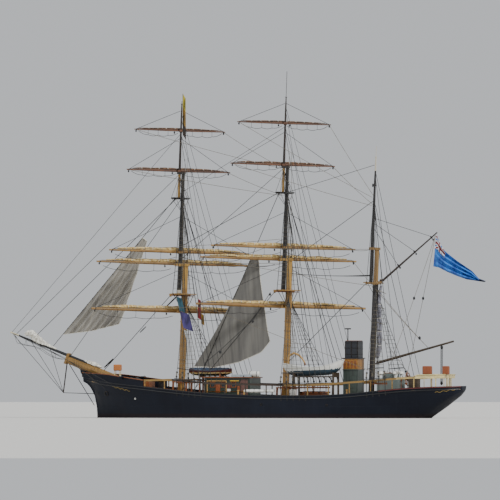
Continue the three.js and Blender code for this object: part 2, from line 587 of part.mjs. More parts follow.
/** The mizzen: a fore-and-aft mast with pins for boom and gaff. */
function mizzenMast() {
  const at = frames.mizzen;
  const heel = MIZZEN.top + 0.1;
  const deckCut = moved(deckTool, group, at);
  const pinSeat = (pinX, z) => join(
    box(0, pinX + 0.13, -0.13, 0.13, z - EYE_HEIGHT / 2 - 0.12, z - EYE_HEIGHT / 2 - GAP),
    post(pinX, 0, z - EYE_HEIGHT / 2 - 0.06, z + EYE_HEIGHT / 2 + 0.05, PIN_R),
  );
  const lower = join(
    lowerSpar(MIZZEN),
    box(-0.95, 0.4, -0.28, 0.28, MIZZEN.top, heel),
    crosstrees(MIZZEN.top + 0.05, -0.95, 0.45),
    stayPost(-0.95, MIZZEN.top),
    box(MIZZEN_TOPMAST_X - 0.25, 0.26, -0.24, 0.24, MIZZEN.cap - 0.24, MIZZEN.cap),
    pinSeat(BOOM.pinX, BOOM.z),
    pinSeat(GAFF.pinX, GAFF.z),
  );
  const hole = post(MIZZEN_TOPMAST_X, 0, heel, MIZZEN.cap + 1, around(MIZZEN.topR, GAP));
  add('mizzen_lower_mast', cut(lower, hole, deckCut), material(COLOURS.buff, 0.5), at);
  const taper = [[MIZZEN.topR, heel + GAP], [MIZZEN.topR, MIZZEN.cap + 1], [0.1, 22.6], [0.06, MIZZEN.truck]];
  const topmast = join(
    spar(taper, 12, MIZZEN_TOPMAST_X, 0),
    post(MIZZEN_TOPMAST_X, 0, 22.3, 22.45, 0.17),
    post(MIZZEN_TOPMAST_X, 0, MIZZEN.truck - 0.06, MIZZEN.truck, 0.1),
    post(MIZZEN_TOPMAST_X, 0, MIZZEN.truck - 0.1, MIZZEN.truck + MIZZEN.spike, 0.025, 8),
    stayPost(MIZZEN_TOPMAST_X - 0.2, 22.35),
  );
  add('mizzen_topmast', topmast, material(COLOURS.black, 0.5), at);
}
mizzenMast();

// Shrouds: one gang a side, on its channel board and chainplates

for (const gang of SHROUDS) {
  const at = frames[gang.name];
  const mastTool = moved(lowerSpar(gang.mast, GAP * 2), at, group);
  for (const [sideName, side] of [['port', -1], ['starboard', 1]]) {
    const steps = [...Array(gang.count).keys()];
    const tops = steps.map((i) => inShip(at, 0.04, side * 0.1, gang.hounds - i * HOUND_STEP));
    const board = steps.map((i) => gang.mast.footX + gang.first + i * gang.pitch).map((x) => ({
      x, y: side * (rimBreadth(x) + CHANNEL.out), z: between(RAIL_TOPS, x) + CHANNEL.lift,
    }));
    const ends = [{ ...board[0], x: board[0].x - 0.2 }, { ...board.at(-1), x: board.at(-1).x + 0.2 }];
    const edge = ends.map(({ x, y, z }) => ({ x, y, bottom: z - CHANNEL.thickness, top: z }));
    const plank = wall(edge, CHANNEL.width);
    const lines = board.flatMap(({ x, y, z }, i) => [
      rod(vec(x, y, z - 0.03), tops[i], SHROUD_R, SHROUD_R, 5),
      rod(
        vec(x, y, z - 0.02),
        vec(x, side * (rimBreadth(x) - 0.02), rimHeight(x) - CHANNEL.drop), 0.035, 0.035, 5,
      ),
    ]);
    const body = cut(join(plank, lines), mastTool, hullTool);
    add(`${gang.name}_${sideName}_shrouds`, body, material(COLOURS.wire, 0.6));
  }
}

// Main stays

const stay = (name, a, b, tools) => add(name, cut(rod(a, b, STAY_R), tools), material(COLOURS.wire, 0.6));
const boomTool = moved(jibboomTool, spritFrame, group);
const onSprit = (u, lift = 0) => inShip(spritFrame, lift, 0, u);
const postTool = (at, x, z) => moved(stayPost(x, z, GAP * 2), at, group);
const onPost = (at, x, z) => inShip(at, x, 0, z);

const FORESTAY_U = 1.75;
const JIB_STAY_U = 7.45;
const MAIN_STAY_FOOT = vec(-7.45, -0.75, 2.0);
const TOPMAST_STAY_FOOT = vec(-7.35, 0, 2.0);
const MIZZEN_STAY_HEIGHT = 5.2;

stay('forestay', onPost(frames.fore, STAY_POST_X, FORE.top - 0.1), onSprit(FORESTAY_U),
  [postTool(frames.fore, STAY_POST_X, FORE.top - 0.1), spritTool]);
const jibStay = [
  onPost(frames.fore, POLE_X - 0.42, FORE.crosstrees - 0.1), onSprit(JIB_STAY_U, JIBBOOM.lift),
];
stay('jib_stay', ...jibStay, [postTool(frames.fore, POLE_X - 0.42, FORE.crosstrees - 0.1), boomTool]);
stay('main_stay', onPost(frames.main, STAY_POST_X, MAIN.top - 0.1), MAIN_STAY_FOOT,
  [postTool(frames.main, STAY_POST_X, MAIN.top - 0.1), deckTool]);
const topmastStay = [onPost(frames.main, POLE_X - 0.42, MAIN.crosstrees - 0.1), TOPMAST_STAY_FOOT];
const topmastStayHold = postTool(frames.main, POLE_X - 0.42, MAIN.crosstrees - 0.1);
stay('main_topmast_stay', ...topmastStay, [topmastStayHold, deckTool]);
stay('mizzen_stay', onPost(frames.mizzen, -0.95, MIZZEN.top), inShip(frames.main, 0, 0, MIZZEN_STAY_HEIGHT),
  [postTool(frames.mizzen, -0.95, MIZZEN.top), moved(lowerSpar(MAIN, GAP * 2), frames.main, group)]);

// Yards

/** A yard's spar, athwart its own frame, thickest in the middle. */
function yardSpar({ length, r }, x) {
  const half = length / 2;
  const profile = [[0, -half], [r * 0.5, -half], [r * 0.85, -half * 0.5], [r, -half * 0.12], [r, half * 0.12],
    [r * 0.85, half * 0.5], [r * 0.5, half], [0, half]];
  const geometry = new THREE.LatheGeometry(profile.map(([radius, z]) => new THREE.Vector2(radius, z)), 10);
  return scaled(geometry.translate(x, 0, 0));
}

/** An eye on a pin, joined to its yard by two arms. */
function eyeHold(pivot, r) {
  const eye = post(0, 0, -EYE_HEIGHT / 2, EYE_HEIGHT / 2, EYE_R);
  const arm = box(-pivot.reach, -EYE_R * 0.7, -0.09, 0.09, -EYE_HEIGHT / 2, EYE_HEIGHT / 2);
  const band = box(
    -pivot.reach - r * 0.6, -pivot.reach + r * 0.9, -0.14, 0.14, -EYE_HEIGHT / 2, EYE_HEIGHT / 2,
  );
  return cut(join(eye, arm, band), post(0, 0, -1, 1, around(PIN_R, PIN_PLAY)));
}

/** A collar round a spar, joined to its yard. */
function collarHold(sparR, reach, height = COLLAR.height) {
  const inner = sparR + COLLAR.play;
  const ring = post(0, 0, -height / 2, height / 2, around(inner + COLLAR.wall, 0));
  const arm = box(-reach, -inner - COLLAR.wall * 0.3, -0.08, 0.08, -height / 2, height / 2);
  return cut(join(ring, arm), post(0, 0, -1, 1, around(inner, 0)));
}

for (const [name, mast] of [['fore', FORE], ['main', MAIN]]) {
  for (const yard of yardRows(name)) {
    const aboveCap = yard.z > mast.head;
    const upper = yard.z > mast.crosstrees;
    const sparR = upper ? mast.poleR : mast.topR;
    const reach = sparR + COLLAR.play + COLLAR.wall + yard.r + 0.02;
    const holds = {
      truss: () => ({ x: TRUSS.pivotX, body: join(eyeHold(TRUSS, yard.r), yardSpar(yard, -TRUSS.reach)) }),
      crane: () => ({ x: CRANE.pivotX, body: join(eyeHold(CRANE, yard.r), yardSpar(yard, -CRANE.reach)) }),
      parrel: () => ({
        x: upper ? POLE_X : TOPMAST_X, body: join(collarHold(sparR, reach), yardSpar(yard, -reach)),
      }),
    };
    const { x, body } = holds[yard.hold]();
    const at = frame(x, 0, yard.z, frames[name]);
    at.rotation.z = THREE.MathUtils.degToRad(BRACED);
    const look = material(aboveCap ? COLOURS.thinYard : COLOURS.yard, 0.6);
    add(`${name}_${yard.name}`, body, look, at);
  }
}

// Gaff, boom and what hangs on them

function aftSpar({ length, rise, r, tipR }, grow = 0) {
  const turn = THREE.MathUtils.degToRad(rise);
  const end = vec(Math.cos(turn) * length, 0, Math.sin(turn) * length);
  return rod(vec(0.2, 0, 0), end, r + grow, tipR + grow, 10);
}

function swingingSpar(name, spec, colour) {
  const at = frame(spec.pinX, 0, spec.z, frames.mizzen);
  const eye = post(0, 0, -EYE_HEIGHT / 2, EYE_HEIGHT / 2, EYE_R);
  const jaw = box(EYE_R * 0.7, 0.34, -0.09, 0.09, -EYE_HEIGHT / 2, EYE_HEIGHT / 2);
  const body = cut(join(eye, jaw, aftSpar(spec)), post(0, 0, -1, 1, around(PIN_R, PIN_PLAY)));
  add(name, body, material(colour, 0.5), at);
  at.updateMatrixWorld(true);
  return at;
}
const gaffFrame = swingingSpar('gaff', GAFF, COLOURS.buff);
swingingSpar('boom', BOOM, COLOURS.buff);

// Ensign under the gaff's end: its rope along the hoist, then the drooping cloth, as x and z from the peak.
const ENSIGN = [
  [0, -0.27], [0.18, -0.27], [0.54, -1.04], [1.07, -1.68], [2.27, -2.53], [3.73, -3.43], [4.4, -4.13],
  [5.2, -4.42], [3.25, -4.29], [2.34, -4.03], [1.3, -3.66], [0.44, -3.27], [-0.14, -3.18],
];
const ENSIGN_THICKNESS = 0.03;
group.updateMatrixWorld(true);
const rise = THREE.MathUtils.degToRad(GAFF.rise);
const hoistX = Math.cos(rise) * GAFF.length - 0.1;
const peakZ = Math.tan(rise) * hoistX;
const ensign = join(
  sidePlate(ENSIGN.map(([x, z]) => [hoistX + x, peakZ + z]), -ENSIGN_THICKNESS / 2, ENSIGN_THICKNESS / 2),
  rod(vec(hoistX, 0, peakZ), vec(hoistX, 0, peakZ - 3.15), 0.03, 0.03, 8),
);
add('ensign', cut(ensign, aftSpar(GAFF, GAP * 2)), material(COLOURS.blue, 0.8), gaffFrame);

// Sails hung to dry: the jib, the main topmast staysail and the brailed spanker

const SAIL_THICKNESS = 0.04;

/** A sail abaft its stay: shares of the stay from its head, then free corners as x and z. */
function staySail([a, b], headShare, tackShare, corners) {
  const luff = [headShare, tackShare].map((share) => new THREE.Vector3().lerpVectors(a, b, share));
  const outline = [...luff.map((point) => [point.x, point.z]), ...corners];
  return cut(sidePlate(outline, -SAIL_THICKNESS / 2, SAIL_THICKNESS / 2), rod(a, b, STAY_R + GAP * 2));
}

const JIB_CORNERS = [
  [-20.3, 8.1], [-17.6, 8.4], [-14.85, 9.05], [-14.5, 9.6], [-13.75, 11.8], [-12.55, 15.2], [-11.9, 17.1],
];
const STAYSAIL_CORNERS = [
  [-5.2, 5.05], [-2.6, 5.3], [0.75, 6.5], [0.55, 7.5], [0.1, 10.8], [-0.3, 13.5], [-0.45, 15.3],
];
const canvas = material(COLOURS.canvas, 0.9);
add('jib', staySail(jibStay, 0.26, 0.905, JIB_CORNERS), canvas);
add('main_staysail', staySail(topmastStay, 0.3, 0.925, STAYSAIL_CORNERS), canvas);
const BRAILED_R = 0.25;
const brailed = spar([
  [0.08, 5.75], [0.2, 6.4], [BRAILED_R, 8.2], [0.22, 10.6], [0.13, 12.3], [0.06, 12.8],
], 12, MIZZEN.lowerR + BRAILED_R + GAP, 0);
add('brailed_spanker', brailed, canvas, frames.mizzen);
const FURLED = [[0.05, 6.1], [0.16, 6.5], [0.13, 8.3], [0.15, 9.6], [0.06, 10.6]];
const furled = spar(FURLED, 8, JIBBOOM.lift + JIBBOOM.r + 0.13, 0);
add('furled_headsails', cut(furled, jibboomTool, moved(rod(...jibStay, STAY_R + 0.05), group, spritFrame)),
  material(COLOURS.white, 0.9), spritFrame);

// Deck houses

/** The four walls of a house on the deck, with openings cut; roof is their top. */
function houseWalls({ x0, x1, half, roof, wall: t }, openings) {
  const outer = box(x0, x1, -half, half, WALL_FOOT, roof);
  const inner = box(x0 + t, x1 - t, -half + t, half - t, WALL_FOOT - 1, roof + 1);
  return cut(outer, inner, openings, deckTool);
}

/** A roof laid on a house's walls. */
const houseRoof = ({ x0, x1, half, roof, overhang, slab }) => box(
  x0 - overhang, x1 + overhang, -half - overhang, half + overhang, roof + GAP, roof + slab,
);

const HINGE = { r: 0.035, out: 0.045, height: 0.1 };
const HINGE_INSET = 0.35;
const STRAP = 0.4;
const STRAP_LIFT = 0.012;

/** A door in a side wall, hinged at its forward edge: its panel, straps and knuckles. */
function sideDoor({ x0, x1, z0, z1, y, t, side, hingeX }) {
  const panel = sideBox(x0 + DOOR_PLAY, x1 - DOOR_PLAY, y, y - side * t, z0 + DOOR_PLAY, z1 - DOOR_PLAY);
  const pinY = y + side * HINGE.out;
  const knuckles = [z0 + HINGE_INSET, z1 - HINGE_INSET].flatMap((z) => [
    post(hingeX, pinY, z, z + HINGE.height, HINGE.r, 8),
    sideBox(hingeX, x0 + STRAP, y + side * STRAP_LIFT, pinY, z, z + HINGE.height),
    sideBox(x0 + 0.05, x0 + STRAP, y - side * 0.02, pinY, z, z + HINGE.height),
  ]);
  return join(panel, knuckles);
}

/** The wall's half of the hinges: blocks on which the knuckles turn. */
const hingeBlocks = ({ x0, z0, z1, y, side, hingeX }) => [z0 + HINGE_INSET, z1 - HINGE_INSET].flatMap((z) => [
  sideBox(hingeX - 0.12, x0 - GAP, y - side * 0.03, y + side * (HINGE.out + HINGE.r), z - 0.08, z - GAP),
  sideBox(
    hingeX - 0.12, hingeX + 0.03, y + side * STRAP_LIFT, y + side * (HINGE.out + HINGE.r), z - 0.08, z - GAP,
  ),
]);
const doorway = ({ x0, x1, z0, z1, y, side }) => sideBox(x0, x1, y + side * 0.2, y - side * 0.3, z0, z1);

const doorOf = (house, x0, x1, z0, z1, side) => ({
  x0, x1, z0, z1, y: side * house.half, t: house.wall * 0.6, side, hingeX: x0 - 0.005,
});
const forwardDoors = [['port', -1], ['starboard', 1]].map(([sideName, side]) => ({
  name: `forward_house_${sideName}_door`, ...doorOf(FORWARD_HOUSE, -1.75, -1.0, 2.15, 3.72, side),
}));
const SIDE_WINDOW = { xs: [-4.6, -3.5, -2.45], half: 0.2, z0: 3.0, z1: 3.42 };
const sideWindows = SIDE_WINDOW.xs.map((x) => box(
  x - SIDE_WINDOW.half, x + SIDE_WINDOW.half, -3, 3, SIDE_WINDOW.z0, SIDE_WINDOW.z1,
));
const forwardShell = houseWalls(FORWARD_HOUSE, [...sideWindows, ...forwardDoors.map(doorway)]);
const forwardWalls = join(forwardShell, forwardDoors.flatMap(hingeBlocks));
add('forward_house_walls', forwardWalls, material(COLOURS.green, 0.6));
forwardDoors.forEach((door) => add(door.name, sideDoor(door), material(COLOURS.wood, 0.5)));

const chartDoor = { name: 'charthouse_door', ...doorOf(CHARTHOUSE, 9.2, 9.82, 2.55, 4.05, -1) };
const chartWalls = houseWalls(CHARTHOUSE, [doorway(chartDoor)]);
add('charthouse_walls', join(chartWalls, hingeBlocks(chartDoor)), material(COLOURS.buff, 0.5));
const flagLocker = box(
  FLAG_LOCKER.x0, FLAG_LOCKER.x1, -FLAG_LOCKER.half, FLAG_LOCKER.half,
  CHARTHOUSE.roof + 0.03, FLAG_LOCKER.top,
);
add('charthouse_top', join(houseRoof(CHARTHOUSE), flagLocker), material(COLOURS.black, 0.6));
add(chartDoor.name, sideDoor(chartDoor), material(COLOURS.buff, 0.5));

// Deck fittings

// Rows: x0, x1, half-width, bottom and top of a block on the centreline.
const TRUNK_BLOCKS = [[12.0, 14.1, 1.1, WALL_FOOT, 3.75], [12.4, 13.7, 0.6, 3.7, 4.3]];
const HATCH_BLOCKS = [[4.1, 6.4, 1.0, WALL_FOOT, 2.5], [4.0, 6.5, 1.1, 2.4, 2.55]];
const blocks = (rows) => join(rows.map(([x0, x1, half, z0, z1]) => box(x0, x1, -half, half, z0, z1)));
const onDeck = (rows) => cut(blocks(rows), deckTool);
add('after_trunk', onDeck(TRUNK_BLOCKS), material(COLOURS.cover, 0.7));
add('main_hatch', onDeck(HATCH_BLOCKS), material(COLOURS.wood, 0.7));

// Barrels: inner and outer end on each side, and radius.
const WINDLASS = {
  x: -13.3, z: 3.62, axle: 1.35, axleR: 0.14, half: 0.25, cheek: 0.07, foot: 2.6,
  cheeks: [-1.12, -0.3, 0.3, 1.12],
};
const BARRELS = [[0.45, 1.0, 0.27], [1.2, 1.4, 0.22]];
const barrel = (y0, y1, r) => rod(vec(WINDLASS.x, y0, WINDLASS.z), vec(WINDLASS.x, y1, WINDLASS.z), r, r, 12);
const windlass = join(
  barrel(-WINDLASS.axle, WINDLASS.axle, WINDLASS.axleR),
  BARRELS.flatMap(([inner, outer, r]) => [barrel(inner, outer, r), barrel(-outer, -inner, r)]),
  WINDLASS.cheeks.map((y) => box(
    WINDLASS.x - WINDLASS.half, WINDLASS.x + WINDLASS.half, y - WINDLASS.cheek, y + WINDLASS.cheek,
    WINDLASS.foot, WINDLASS.z + 0.1,
  )),
);
add('windlass', cut(windlass, deckTool), material(COLOURS.steel, 0.5, 0.6));

// The anchor hangs under the starboard cathead.
const ANCHOR = {
  x: -13.42, y: 3.32, crown: 1.75, stock: 3.5, stockHalf: 0.75, arm: 0.6, armTop: 2.15, fluke: 0.11,
};
const byAnchor = (x, z) => vec(ANCHOR.x + x, ANCHOR.y, z);
const anchor = join(
  rod(byAnchor(0, CAT_HEAD.z0 - GAP), byAnchor(0, ANCHOR.crown - 0.05), 0.06, 0.07),
  rod(byAnchor(-ANCHOR.stockHalf, ANCHOR.stock), byAnchor(ANCHOR.stockHalf, ANCHOR.stock), 0.045),
  [-1, 1].flatMap((way) => [
    rod(byAnchor(0, ANCHOR.crown), byAnchor(way * ANCHOR.arm, ANCHOR.armTop), 0.08, 0.045),
    box(
      ANCHOR.x + way * ANCHOR.arm - ANCHOR.fluke, ANCHOR.x + way * ANCHOR.arm + ANCHOR.fluke,
      ANCHOR.y - ANCHOR.fluke, ANCHOR.y + ANCHOR.fluke, ANCHOR.armTop - 0.15, ANCHOR.armTop + 0.15,
    ),
  ]),
);
add('starboard_anchor', anchor, material(COLOURS.black, 0.5, 0.4));

// Steering gear, wheel, rudder and propeller

const WHEEL = { x: 14.75, z: 3.75, r: 0.62, axle: 0.05 };
const WHEEL_BOX = [[14.95, 15.9, 0.4, WALL_FOOT, 3.95], [14.9, 15.95, 0.45, 3.9, 4.0]];
const axleBore = around(WHEEL.axle, PIN_PLAY / 2);
const boreTool = rod(vec(14.5, 0, WHEEL.z), vec(15.3, 0, WHEEL.z), axleBore, axleBore, 12);
const wheelBox = cut(onDeck(WHEEL_BOX), boreTool);
add('wheel_box', wheelBox, material(COLOURS.wood, 0.5));

const rimRing = new THREE.TorusGeometry(WHEEL.r, 0.04, 6, 24);
const rim = scaled(rimRing.rotateY(Math.PI / 2).translate(WHEEL.x, 0, WHEEL.z));
const spokes = Array.from({ length: 4 }, (_, i) => {
  const a = i * Math.PI / 4;
  const reach = WHEEL.r + 0.2;
  const tip = (sign) => vec(WHEEL.x, sign * Math.cos(a) * reach, WHEEL.z + sign * Math.sin(a) * reach);
  return rod(tip(-1), tip(1), 0.022, 0.022, 6);
});
const hub = rod(vec(WHEEL.x - 0.08, 0, WHEEL.z), vec(14.95 - GAP, 0, WHEEL.z), 0.11, 0.11, 12);
const axle = rod(vec(WHEEL.x, 0, WHEEL.z), vec(15.25, 0, WHEEL.z), WHEEL.axle, WHEEL.axle, 12);
add('steering_wheel', join(rim, spokes, hub, axle), material(COLOURS.wood, 0.4));

// The blade's outline, as x from the stock and z.
const BLADE = [
  [-0.02, SOLE_TOP + 0.03], [RUDDER.blade - 0.12, SOLE_TOP + 0.03], [RUDDER.blade, SOLE_TOP + 0.4],
  [RUDDER.blade, -1.5], [RUDDER.blade - 0.35, RUDDER.bladeTop], [-0.02, RUDDER.bladeTop],
];
const rudder = join(
  post(RUDDER.x, 0, SOLE_TOP + GAP, RUDDER.top, RUDDER.stockR),
  sidePlate(BLADE.map(([x, z]) => [RUDDER.x + x, z]), -RUDDER.thickness / 2, RUDDER.thickness / 2),
);
add('rudder', rudder, material(COLOURS.hull, 0.5));

const blades = [0, 1, 2].map((i) => {
  const blade = new THREE.CylinderGeometry(0.3, 0.3, 0.05, 10).scale(0.75, 1, 1).rotateZ(Math.PI / 2)
    .translate(0, 0, 0.36);
  blade.applyMatrix4(new THREE.Matrix4().makeRotationZ(THREE.MathUtils.degToRad(32)));
  blade.applyMatrix4(new THREE.Matrix4().makeRotationX(i * 2 * Math.PI / 3));
  return scaled(blade.translate(15.1, 0, SHAFT.z));
});
const propeller = join(
  shaftLine(PROPELLER_POST_X + GAP, 15.3, SHAFT.hub),
  rod(vec(15.28, 0, SHAFT.z), vec(15.45, 0, SHAFT.z), SHAFT.hub, 0.05, 12),
  shaftLine(14.4, 15, SHAFT.r),
  blades,
);
add('propeller', propeller, material(COLOURS.bronze, 0.35, 0.9));

// Boats

// A boat's sections: share of its length, share of its beam, and the keel's lift as a share of its depth.
const BOAT_SECTIONS = [
  [0.02, 0.08, 0.55], [0.12, 0.55, 0.2], [0.3, 0.9, 0.04], [0.55, 1, 0], [0.78, 0.88, 0.06], [0.93, 0.55, 0.2],
  [0.99, 0.2, 0.45],
];

/** A boat's outer shape, from its forward end at x, keel down; trim is how much higher its after end lies. */
function boatBody({ x, y, z, length, beam, depth, crown, trim }) {
  return loft(BOAT_SECTIONS.map(([along, wide, lift]) => {
    const half = wide * beam / 2;
    const base = z + trim * (along - 0.5);
    const sheer = base + depth + 0.25 * depth * (2 * along - 1) ** 2;
    const keel = base + lift * depth;
    return mirrored(x + along * length, [
      [0.05, keel], [half * 0.6, keel + (sheer - keel) * 0.18], [half * 0.95, keel + (sheer - keel) * 0.6],
      [half, sheer], [half * 0.55, sheer + crown * 0.7], [0.04, sheer + crown],
    ]).map(([px, py, pz]) => [px, y + py, pz]);
  }));
}

const LONGBOAT = { x: 2.76, y: -2.0, z: 4.0, length: 6.3, beam: 1.7, depth: 1.05, crown: 0.2, trim: 0.35 };
add('port_longboat', boatBody(LONGBOAT), material(COLOURS.white, 0.5));
const HOUSE_BOAT = { x: -8.0, y: 0.98, z: 4.02, length: 4.5, beam: 1.45, depth: 0.6, crown: 0.28, trim: 0 };
add('house_boat', boatBody(HOUSE_BOAT), material(COLOURS.cover, 0.8));

/** A boat's body made a little larger, to cut its seat. */
const boatTool = (boat) => boatBody({
  ...boat, z: boat.z - GAP * 2, beam: boat.beam + GAP * 6, depth: boat.depth + GAP * 2,
});

const SKIDS = { xs: [-6.7, -4.6], ys: [0.5, 1.45], x0: -6.8, x1: -4.0, low: 3.86, high: 4.0, half: 0.06 };
const [legX] = SKIDS.xs;
const [innerY, outerY] = SKIDS.ys;
const skids = join(
  SKIDS.ys.map((y) => box(SKIDS.x0, SKIDS.x1, y - SKIDS.half, y + SKIDS.half, SKIDS.low + 0.02, SKIDS.high)),
  SKIDS.xs.map((x) => box(
    x - SKIDS.half, x + SKIDS.half, innerY - 0.1, outerY + 0.1, SKIDS.low + 0.04, SKIDS.high + 0.25,
  )),
  SKIDS.ys.map((y) => box(
    legX - SKIDS.half, legX + SKIDS.half, y - SKIDS.half, y + SKIDS.half, WALL_FOOT, SKIDS.high,
  )),
);
const roofWithSkids = cut(join(houseRoof(FORWARD_HOUSE), skids), deckTool, boatTool(HOUSE_BOAT));
add('forward_house_roof', roofWithSkids, material(COLOURS.wood, 0.7));

const GALLOWS = { xs: [4.15, 8.15], ys: [-2.75, -1.3], top: 4.12, post: 0.08, rail: 0.05 };
const [firstX, lastX] = GALLOWS.xs;
const [outboardY, inboardY] = GALLOWS.ys;
const gallows = join(
  GALLOWS.xs.flatMap((x) => GALLOWS.ys.map((y) => box(
    x - GALLOWS.post, x + GALLOWS.post, y - GALLOWS.post, y + GALLOWS.post, WALL_FOOT, GALLOWS.top,
  ))),
  GALLOWS.xs.map((x) => box(
    x - GALLOWS.post, x + GALLOWS.post, outboardY - 0.1, inboardY + 0.1, GALLOWS.top - 0.2, GALLOWS.top + 0.25,
  )),
  GALLOWS.ys.map((y) => box(
    firstX, lastX, y - GALLOWS.rail, y + GALLOWS.rail, GALLOWS.top - 0.2, GALLOWS.top - 0.08,
  )),
);
add('boat_gallows', cut(gallows, deckTool, boatTool(LONGBOAT)), material(COLOURS.rail, 0.5));

export default group;
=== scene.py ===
"""A three-masted barque with her sails stowed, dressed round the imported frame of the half-size model.

Sizes are the real ship's, in metres, until a mesh is made: MODEL_SCALE turns them into the model's.
+X runs aft, +Y to starboard and +Z up, from amidships on the centreline in the waterline.
"""

import logging
import math
import random
from dataclasses import dataclass
from enum import Enum
from functools import partial
from itertools import product
from typing import Callable, Sequence

import bpy
from mathutils import Matrix, Vector
from mathutils.geometry import tessellate_polygon


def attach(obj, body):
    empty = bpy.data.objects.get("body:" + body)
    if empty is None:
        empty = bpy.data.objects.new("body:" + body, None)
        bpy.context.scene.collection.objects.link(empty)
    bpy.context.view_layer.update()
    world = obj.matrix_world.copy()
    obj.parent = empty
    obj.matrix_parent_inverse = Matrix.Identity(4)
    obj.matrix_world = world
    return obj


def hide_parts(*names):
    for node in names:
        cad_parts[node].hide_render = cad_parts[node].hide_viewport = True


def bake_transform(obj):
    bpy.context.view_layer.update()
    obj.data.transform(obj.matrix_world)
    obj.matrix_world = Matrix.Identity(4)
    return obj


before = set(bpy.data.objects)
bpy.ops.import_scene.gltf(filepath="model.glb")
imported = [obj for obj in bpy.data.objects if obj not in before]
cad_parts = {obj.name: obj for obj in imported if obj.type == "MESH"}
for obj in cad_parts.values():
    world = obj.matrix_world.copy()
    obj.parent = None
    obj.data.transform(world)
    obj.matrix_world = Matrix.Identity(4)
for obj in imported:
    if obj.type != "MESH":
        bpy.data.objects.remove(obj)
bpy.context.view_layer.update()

log = logging.getLogger("barque")

MODEL_SCALE = 0.5
SEED = 11
HULL_BODY = "hull"
SIDES = (("port", -1), ("starboard", 1))

Face = tuple[int, ...]
Row = Sequence[float]
Rows = tuple[Row, ...]
Socket = bpy.types.NodeSocket
Adder = Callable[..., Socket]
Looks = dict[str, object]


def linear(colour: str) -> tuple[float, float, float, float]:
    """Turns an sRGB hex colour, such as "c08a2e", into linear RGBA from 0 to 1."""
    parts = [int(colour[i:i + 2], 16) / 255 for i in (0, 2, 4)]
    bent = [c / 12.92 if c <= 0.04045 else ((c + 0.055) / 1.055) ** 2.4 for c in parts]
    return bent[0], bent[1], bent[2], 1.0


def shrunk(millimetres: float) -> float:
    """Gives a real length in millimetres as metres of the model."""
    return millimetres / 1000 * MODEL_SCALE


def per_metre(millimetres: float) -> float:
    """Gives a texture's scale for a pattern of that real size."""
    return 1 / shrunk(millimetres)


def feed(node: bpy.types.Node, inputs: dict | Sequence) -> None:
    """Feeds a node: a socket is linked, an sRGB hex set as a colour and anything else as it is.

    Args:
        node: the node.
        inputs: what each named input gets, or what the first ones get, in their order.
    """
    for name, value in inputs.items() if isinstance(inputs, dict) else enumerate(inputs):
        if isinstance(value, Socket):
            node.id_data.links.new(value, node.inputs[name])
        else:
            node.inputs[name].default_value = linear(value) if isinstance(value, str) else value


def add_node(tree: bpy.types.NodeTree, kind: str, inputs: dict | Sequence, output: int | str = 0,
             stops: Sequence[tuple[float, str]] = (), striped: bool = False, **settings: object) -> Socket:
    """Adds one shader node with its settings and links.

    Args:
        tree: the material's node tree.
        kind: Blender's type name of the node, without "ShaderNode".
        inputs: what feeds it.
        output: the wanted output.
        stops: a colour ramp's places and sRGB hex colours.
        striped: whether the ramp changes colour at once.
        settings: properties of the node itself.

    Returns:
        The wanted output socket.
    """
    node = tree.nodes.new("ShaderNode" + kind)
    for name, value in settings.items():
        setattr(node, name, value)
    if stops:
        ramp = node.color_ramp
        ramp.interpolation = "CONSTANT" if striped else "LINEAR"
        ramp.elements.remove(ramp.elements[1])
        ramp.elements[0].position = stops[0][0]
        ramp.elements[0].color = linear(stops[0][1])
        for place, colour in stops[1:]:
            ramp.elements.new(place).color = linear(colour)
    feed(node, inputs)
    return node.outputs[output]


class Axis(Enum):
    """The way a pattern runs: along the ship, across it or upright."""

    X = 0
    Y = 1
    Z = 2

    def squeezed(self, factor: float) -> list[float]:
        """Gives the scale that draws a pattern out along this axis."""
        return [factor if i == self.value else 1.0 for i in range(3)]


@dataclass(frozen=True)
class Finish:
    """One real surface: what it is made of and how it was made; patterns are in real millimetres."""

    name: str
    colour: str
    roughness: float = 0.5
    metallic: float = 0.0

    def material(self) -> bpy.types.Material:
        """Gives the finish's material, made once."""
        made = bpy.data.materials.get(self.name)
        if made:
            return made
        made = bpy.data.materials.new(self.name)
        made.use_nodes = True
        made.diffuse_color = linear(self.colour)
        tree = made.node_tree
        place = add_node(tree, "TexCoord", {}, "Object")
        looks = {"Metallic": self.metallic, "Roughness": self.roughness}
        feed(tree.nodes["Principled BSDF"], looks | self.surface(partial(add_node, tree), place))
        return made

    def surface(self, add: Adder, place: Socket) -> Looks:
        """Draws the finish; each kind has its own.

        Args:
            add: add_node for the finish's own tree.
            place: the hull's frame, in metres of the model.

        Returns:
            What the shader's inputs get.
        """
        raise NotImplementedError


